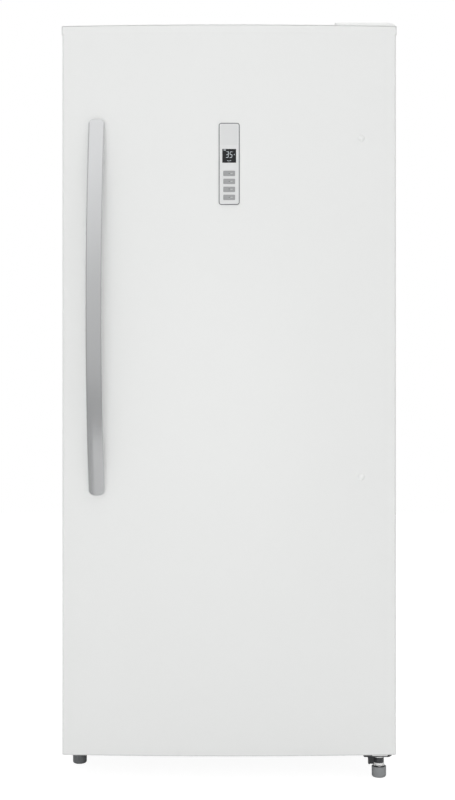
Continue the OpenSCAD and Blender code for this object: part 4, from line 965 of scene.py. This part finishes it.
def soften(node, material, width):
    """A merged copy of a CAD node, with flat faces rejoined and its edges bevelled by width mm."""
    source = frame["nodes"][node]
    copy = bmesh.new()
    copy.from_mesh(source.data)
    bmesh.ops.remove_doubles(copy, verts=copy.verts, dist=MERGE_DIST * MM)
    bmesh.ops.dissolve_limit(copy, angle_limit=math.radians(FLAT_ANGLE), verts=copy.verts,
                             edges=copy.edges)
    mesh = bpy.data.meshes.new(node + "_edged")
    copy.to_mesh(mesh)
    copy.free()
    mesh.materials.append(material)
    piece = put(node + "_edged", mesh)
    shade(piece, CREASE)
    edges = piece.modifiers.new("edges", "BEVEL")
    edges.width = width * MM
    edges.segments = 2
    edges.limit_method = "ANGLE"
    edges.angle_limit = math.radians(CREASE)
    edges.harden_normals = True
    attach(piece, source["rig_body"])
    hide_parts(node)


SHELVES = (1, 2, 3, 4)
edged = [(cap_abs, 1.6, ["hinge_cover"]), (black_paint, 0.5, ["bottom_hinge_bracket"]),
         (black_pp, 0.6, ["drain_pan"]), (key_film, 0.3, KEYS),
         (shelf_abs, 1.0, ["shelf_frame_%d" % i for i in SHELVES] + ["crisper_cover_frame"]),
         (shelf_glass, 0.6, ["shelf_glass_%d" % i for i in SHELVES] + ["crisper_cover_glass"])]
for material, width, nodes in edged:
    for node in nodes:
        soften(node, material, width)
print("broke the edges of", sum(len(nodes) for _, _, nodes in edged), "nodes")

# %% [markdown]
# The floor is pale and keeps the refrigerator's soft shadow. For rays from the camera part of
# its light is its own, so that it meets the white background without an edge. Mirrors see it a
# little darker, and from below it is clear, so that the refrigerator's underside can be seen.
# The floor, the lamps and the cards are placed in metres.

# %% Floor
FLOOR = 7.0
LIT, MIRRORED, SHADOWED, OWN_LIGHT = 0.92, 0.74, 0.20, 0.935


def grey(level):
    """A linear grey as RGBA."""
    return (level, level, level, 1)


def flat_sheet(name, corners, material):
    """One flat face that belongs to the studio and not to the refrigerator."""
    mesh = bpy.data.meshes.new(name)
    mesh.from_pydata(corners, [], [list(range(len(corners)))])
    mesh.materials.append(material)
    sheet = put(name, mesh)
    sheet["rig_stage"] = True
    return sheet


floor_material = bpy.data.materials.new("pale_floor")
tree = emptied(floor_material)
rays = add(tree, "LightPath").outputs
lit, mirrored, shadowed = [add(tree, "BsdfDiffuse", {"Color": grey(level)}).outputs[0]
                           for level in (LIT, MIRRORED, SHADOWED)]
glow = add(tree, "Emission", {"Color": grey(1), "Strength": OWN_LIGHT}).outputs[0]
unseen = add(tree, "BsdfTransparent").outputs[0]
seen = add(tree, "AddShader", {0: shadowed, 1: glow}).outputs[0]
bounced = add(tree, "MixShader", {"Fac": rays["Is Glossy Ray"], 1: lit, 2: mirrored}).outputs[0]
above = add(tree, "MixShader", {"Fac": rays["Is Camera Ray"], 1: bounced, 2: seen}).outputs[0]
below = add(tree, "NewGeometry").outputs["Backfacing"]
mixed = add(tree, "MixShader", {"Fac": below, 1: above, 2: unseen})
add(tree, "OutputMaterial", {"Surface": mixed.outputs[0]})
flat_sheet("floor", [(x, y, 0) for x, y in rectangle((-FLOOR, -FLOOR), (FLOOR, FLOOR))],
           floor_material)
print("floor", 2 * FLOOR, "m across")

# %% [markdown]
# Soft light comes from a wide lamp in front on the left, a stronger one close behind the camera,
# whose shadows hide behind what casts them, one overhead and one behind for the views of the
# back. The pale surroundings add the rest. The background is white for the camera, for mirrors
# and for glass.

# %% Lamps
AIM_POINT = (0, -0.3, 1.0)


def lamp(name, place, size, power):
    """A soft rectangular lamp at a place in metres, tipped and then turned to face AIM_POINT."""
    data = bpy.data.lights.new(name, "AREA")
    data.shape = "RECTANGLE"
    data.size, data.size_y = size
    data.energy = power
    holder = put(name, data)
    holder.location = place
    aim = np.subtract(AIM_POINT, place)
    holder.rotation_euler = (math.atan2(math.hypot(aim[0], aim[1]), -aim[2]), 0,
                             math.atan2(aim[1], aim[0]) - math.pi / 2)
    holder.visible_glossy = False
    print("lamp", name, "gives", power, "W")


lamp("key", (-1.1, -4.8, 1.1), (1.8, 2.2), 22)
lamp("fill", (0.1, -4.8, 0.8), (1.2, 1.6), 41)
lamp("overhead", (0.0, -0.8, 4.4), (3.4, 3.4), 48)
lamp("rear", (0.5, 4.0, 3.4), (3.0, 2.4), 80)

# %% Background
AMBIENT = 0.52
world = bpy.data.worlds.new("studio")
bpy.context.scene.world = world
tree = emptied(world)
rays = add(tree, "LightPath").outputs
shown = rays["Is Camera Ray"]
for ray in ("Is Glossy Ray", "Is Transmission Ray"):
    shown = add(tree, "Math", {0: shown, 1: rays[ray]}, operation="MAXIMUM").outputs[0]
level = add(tree, "MapRange", {"Value": shown, "To Min": AMBIENT, "To Max": 1.0})
background = add(tree, "Background", {"Color": grey(1), "Strength": level.outputs["Result"]})
add(tree, "OutputWorld", {"Surface": background.outputs[0]})
print("background 1.0 where it is seen,", AMBIENT, "as light")

# %% [markdown]
# A photographer sets grey cards round a bright metal bar, so that it doesn't look white all
# over. The wide one behind the camera grows lighter upwards, and the bowed handle shows it as a
# shade that falls from its top to its lower third. A dark mat on the floor ends short of the
# refrigerator, so the handle's foot is lighter again. A card on each side draws the thin dark
# lines along the handle's edges. Only mirror reflections see them.

# %% Cards
CARD_HALF, CARD_TOP, CARD_Y = 4, 4.2, -3.6
SIDE_CARD_X, SIDE_CARD_END = 3.2, 0.5
MAT_Y, MAT_END, MAT_Z = -2.97, -1.0, 0.002


def card(name, corners, stops):
    """A flat card that only reflections see. Stops are (height in m, brightness)."""
    material = bpy.data.materials.new(name)
    net = emptied(material)
    coords = add(net, "TexCoord").outputs["Object"]
    height = add(net, "SeparateXYZ", {"Vector": coords}).outputs["Z"]
    share = add(net, "MapRange", {"Value": height, "From Max": CARD_TOP})
    ramp = add(net, "ValToRGB", {"Fac": share.outputs["Result"]})
    while len(ramp.color_ramp.elements) < len(stops):
        ramp.color_ramp.elements.new(1.0)
    for stop, (z, level) in zip(ramp.color_ramp.elements, stops):
        stop.position = z / CARD_TOP
        stop.color = grey(level)
    shine = add(net, "Emission", {"Color": ramp.outputs["Color"]})
    add(net, "OutputMaterial", {"Surface": shine.outputs[0]})
    sheet = flat_sheet(name, corners, material)
    sheet.visible_camera = sheet.visible_diffuse = sheet.visible_shadow = False
    sheet.visible_transmission = False
    print(name, "has", len(stops), "stops")


card("front_card",
     [(x, CARD_Y, z) for x, z in rectangle((-CARD_HALF, 0), (CARD_HALF, CARD_TOP))],
     [(0, 0.42), (0.25, 0.44), (0.56, 0.56), (1.15, 0.62), (1.74, 0.67), (2.36, 0.80),
      (3.41, 0.97), (CARD_TOP, 1.0)])
mat = [(-CARD_HALF, CARD_Y), (CARD_HALF, CARD_Y), (CARD_HALF, MAT_Y), (-1.08, MAT_Y),
       (-1.14, MAT_Y + 0.12), (-0.62, MAT_END), (-CARD_HALF, MAT_END)]
card("floor_mat", [(x, y, MAT_Z) for x, y in mat], [(0, 0.46), (1, 0.46)])
for name, x in (("left_card", -SIDE_CARD_X), ("right_card", SIDE_CARD_X)):
    card(name, [(x, y, z) for y, z in rectangle((CARD_Y, 0), (SIDE_CARD_END, CARD_TOP))],
         [(0, 0.34), (CARD_TOP, 0.68)])

# %% Print the sizes and finish
bpy.context.scene.view_settings.view_transform = "Standard"
low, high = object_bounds()
print("visual box", [round(v, 4) for v in (*low, *high)])
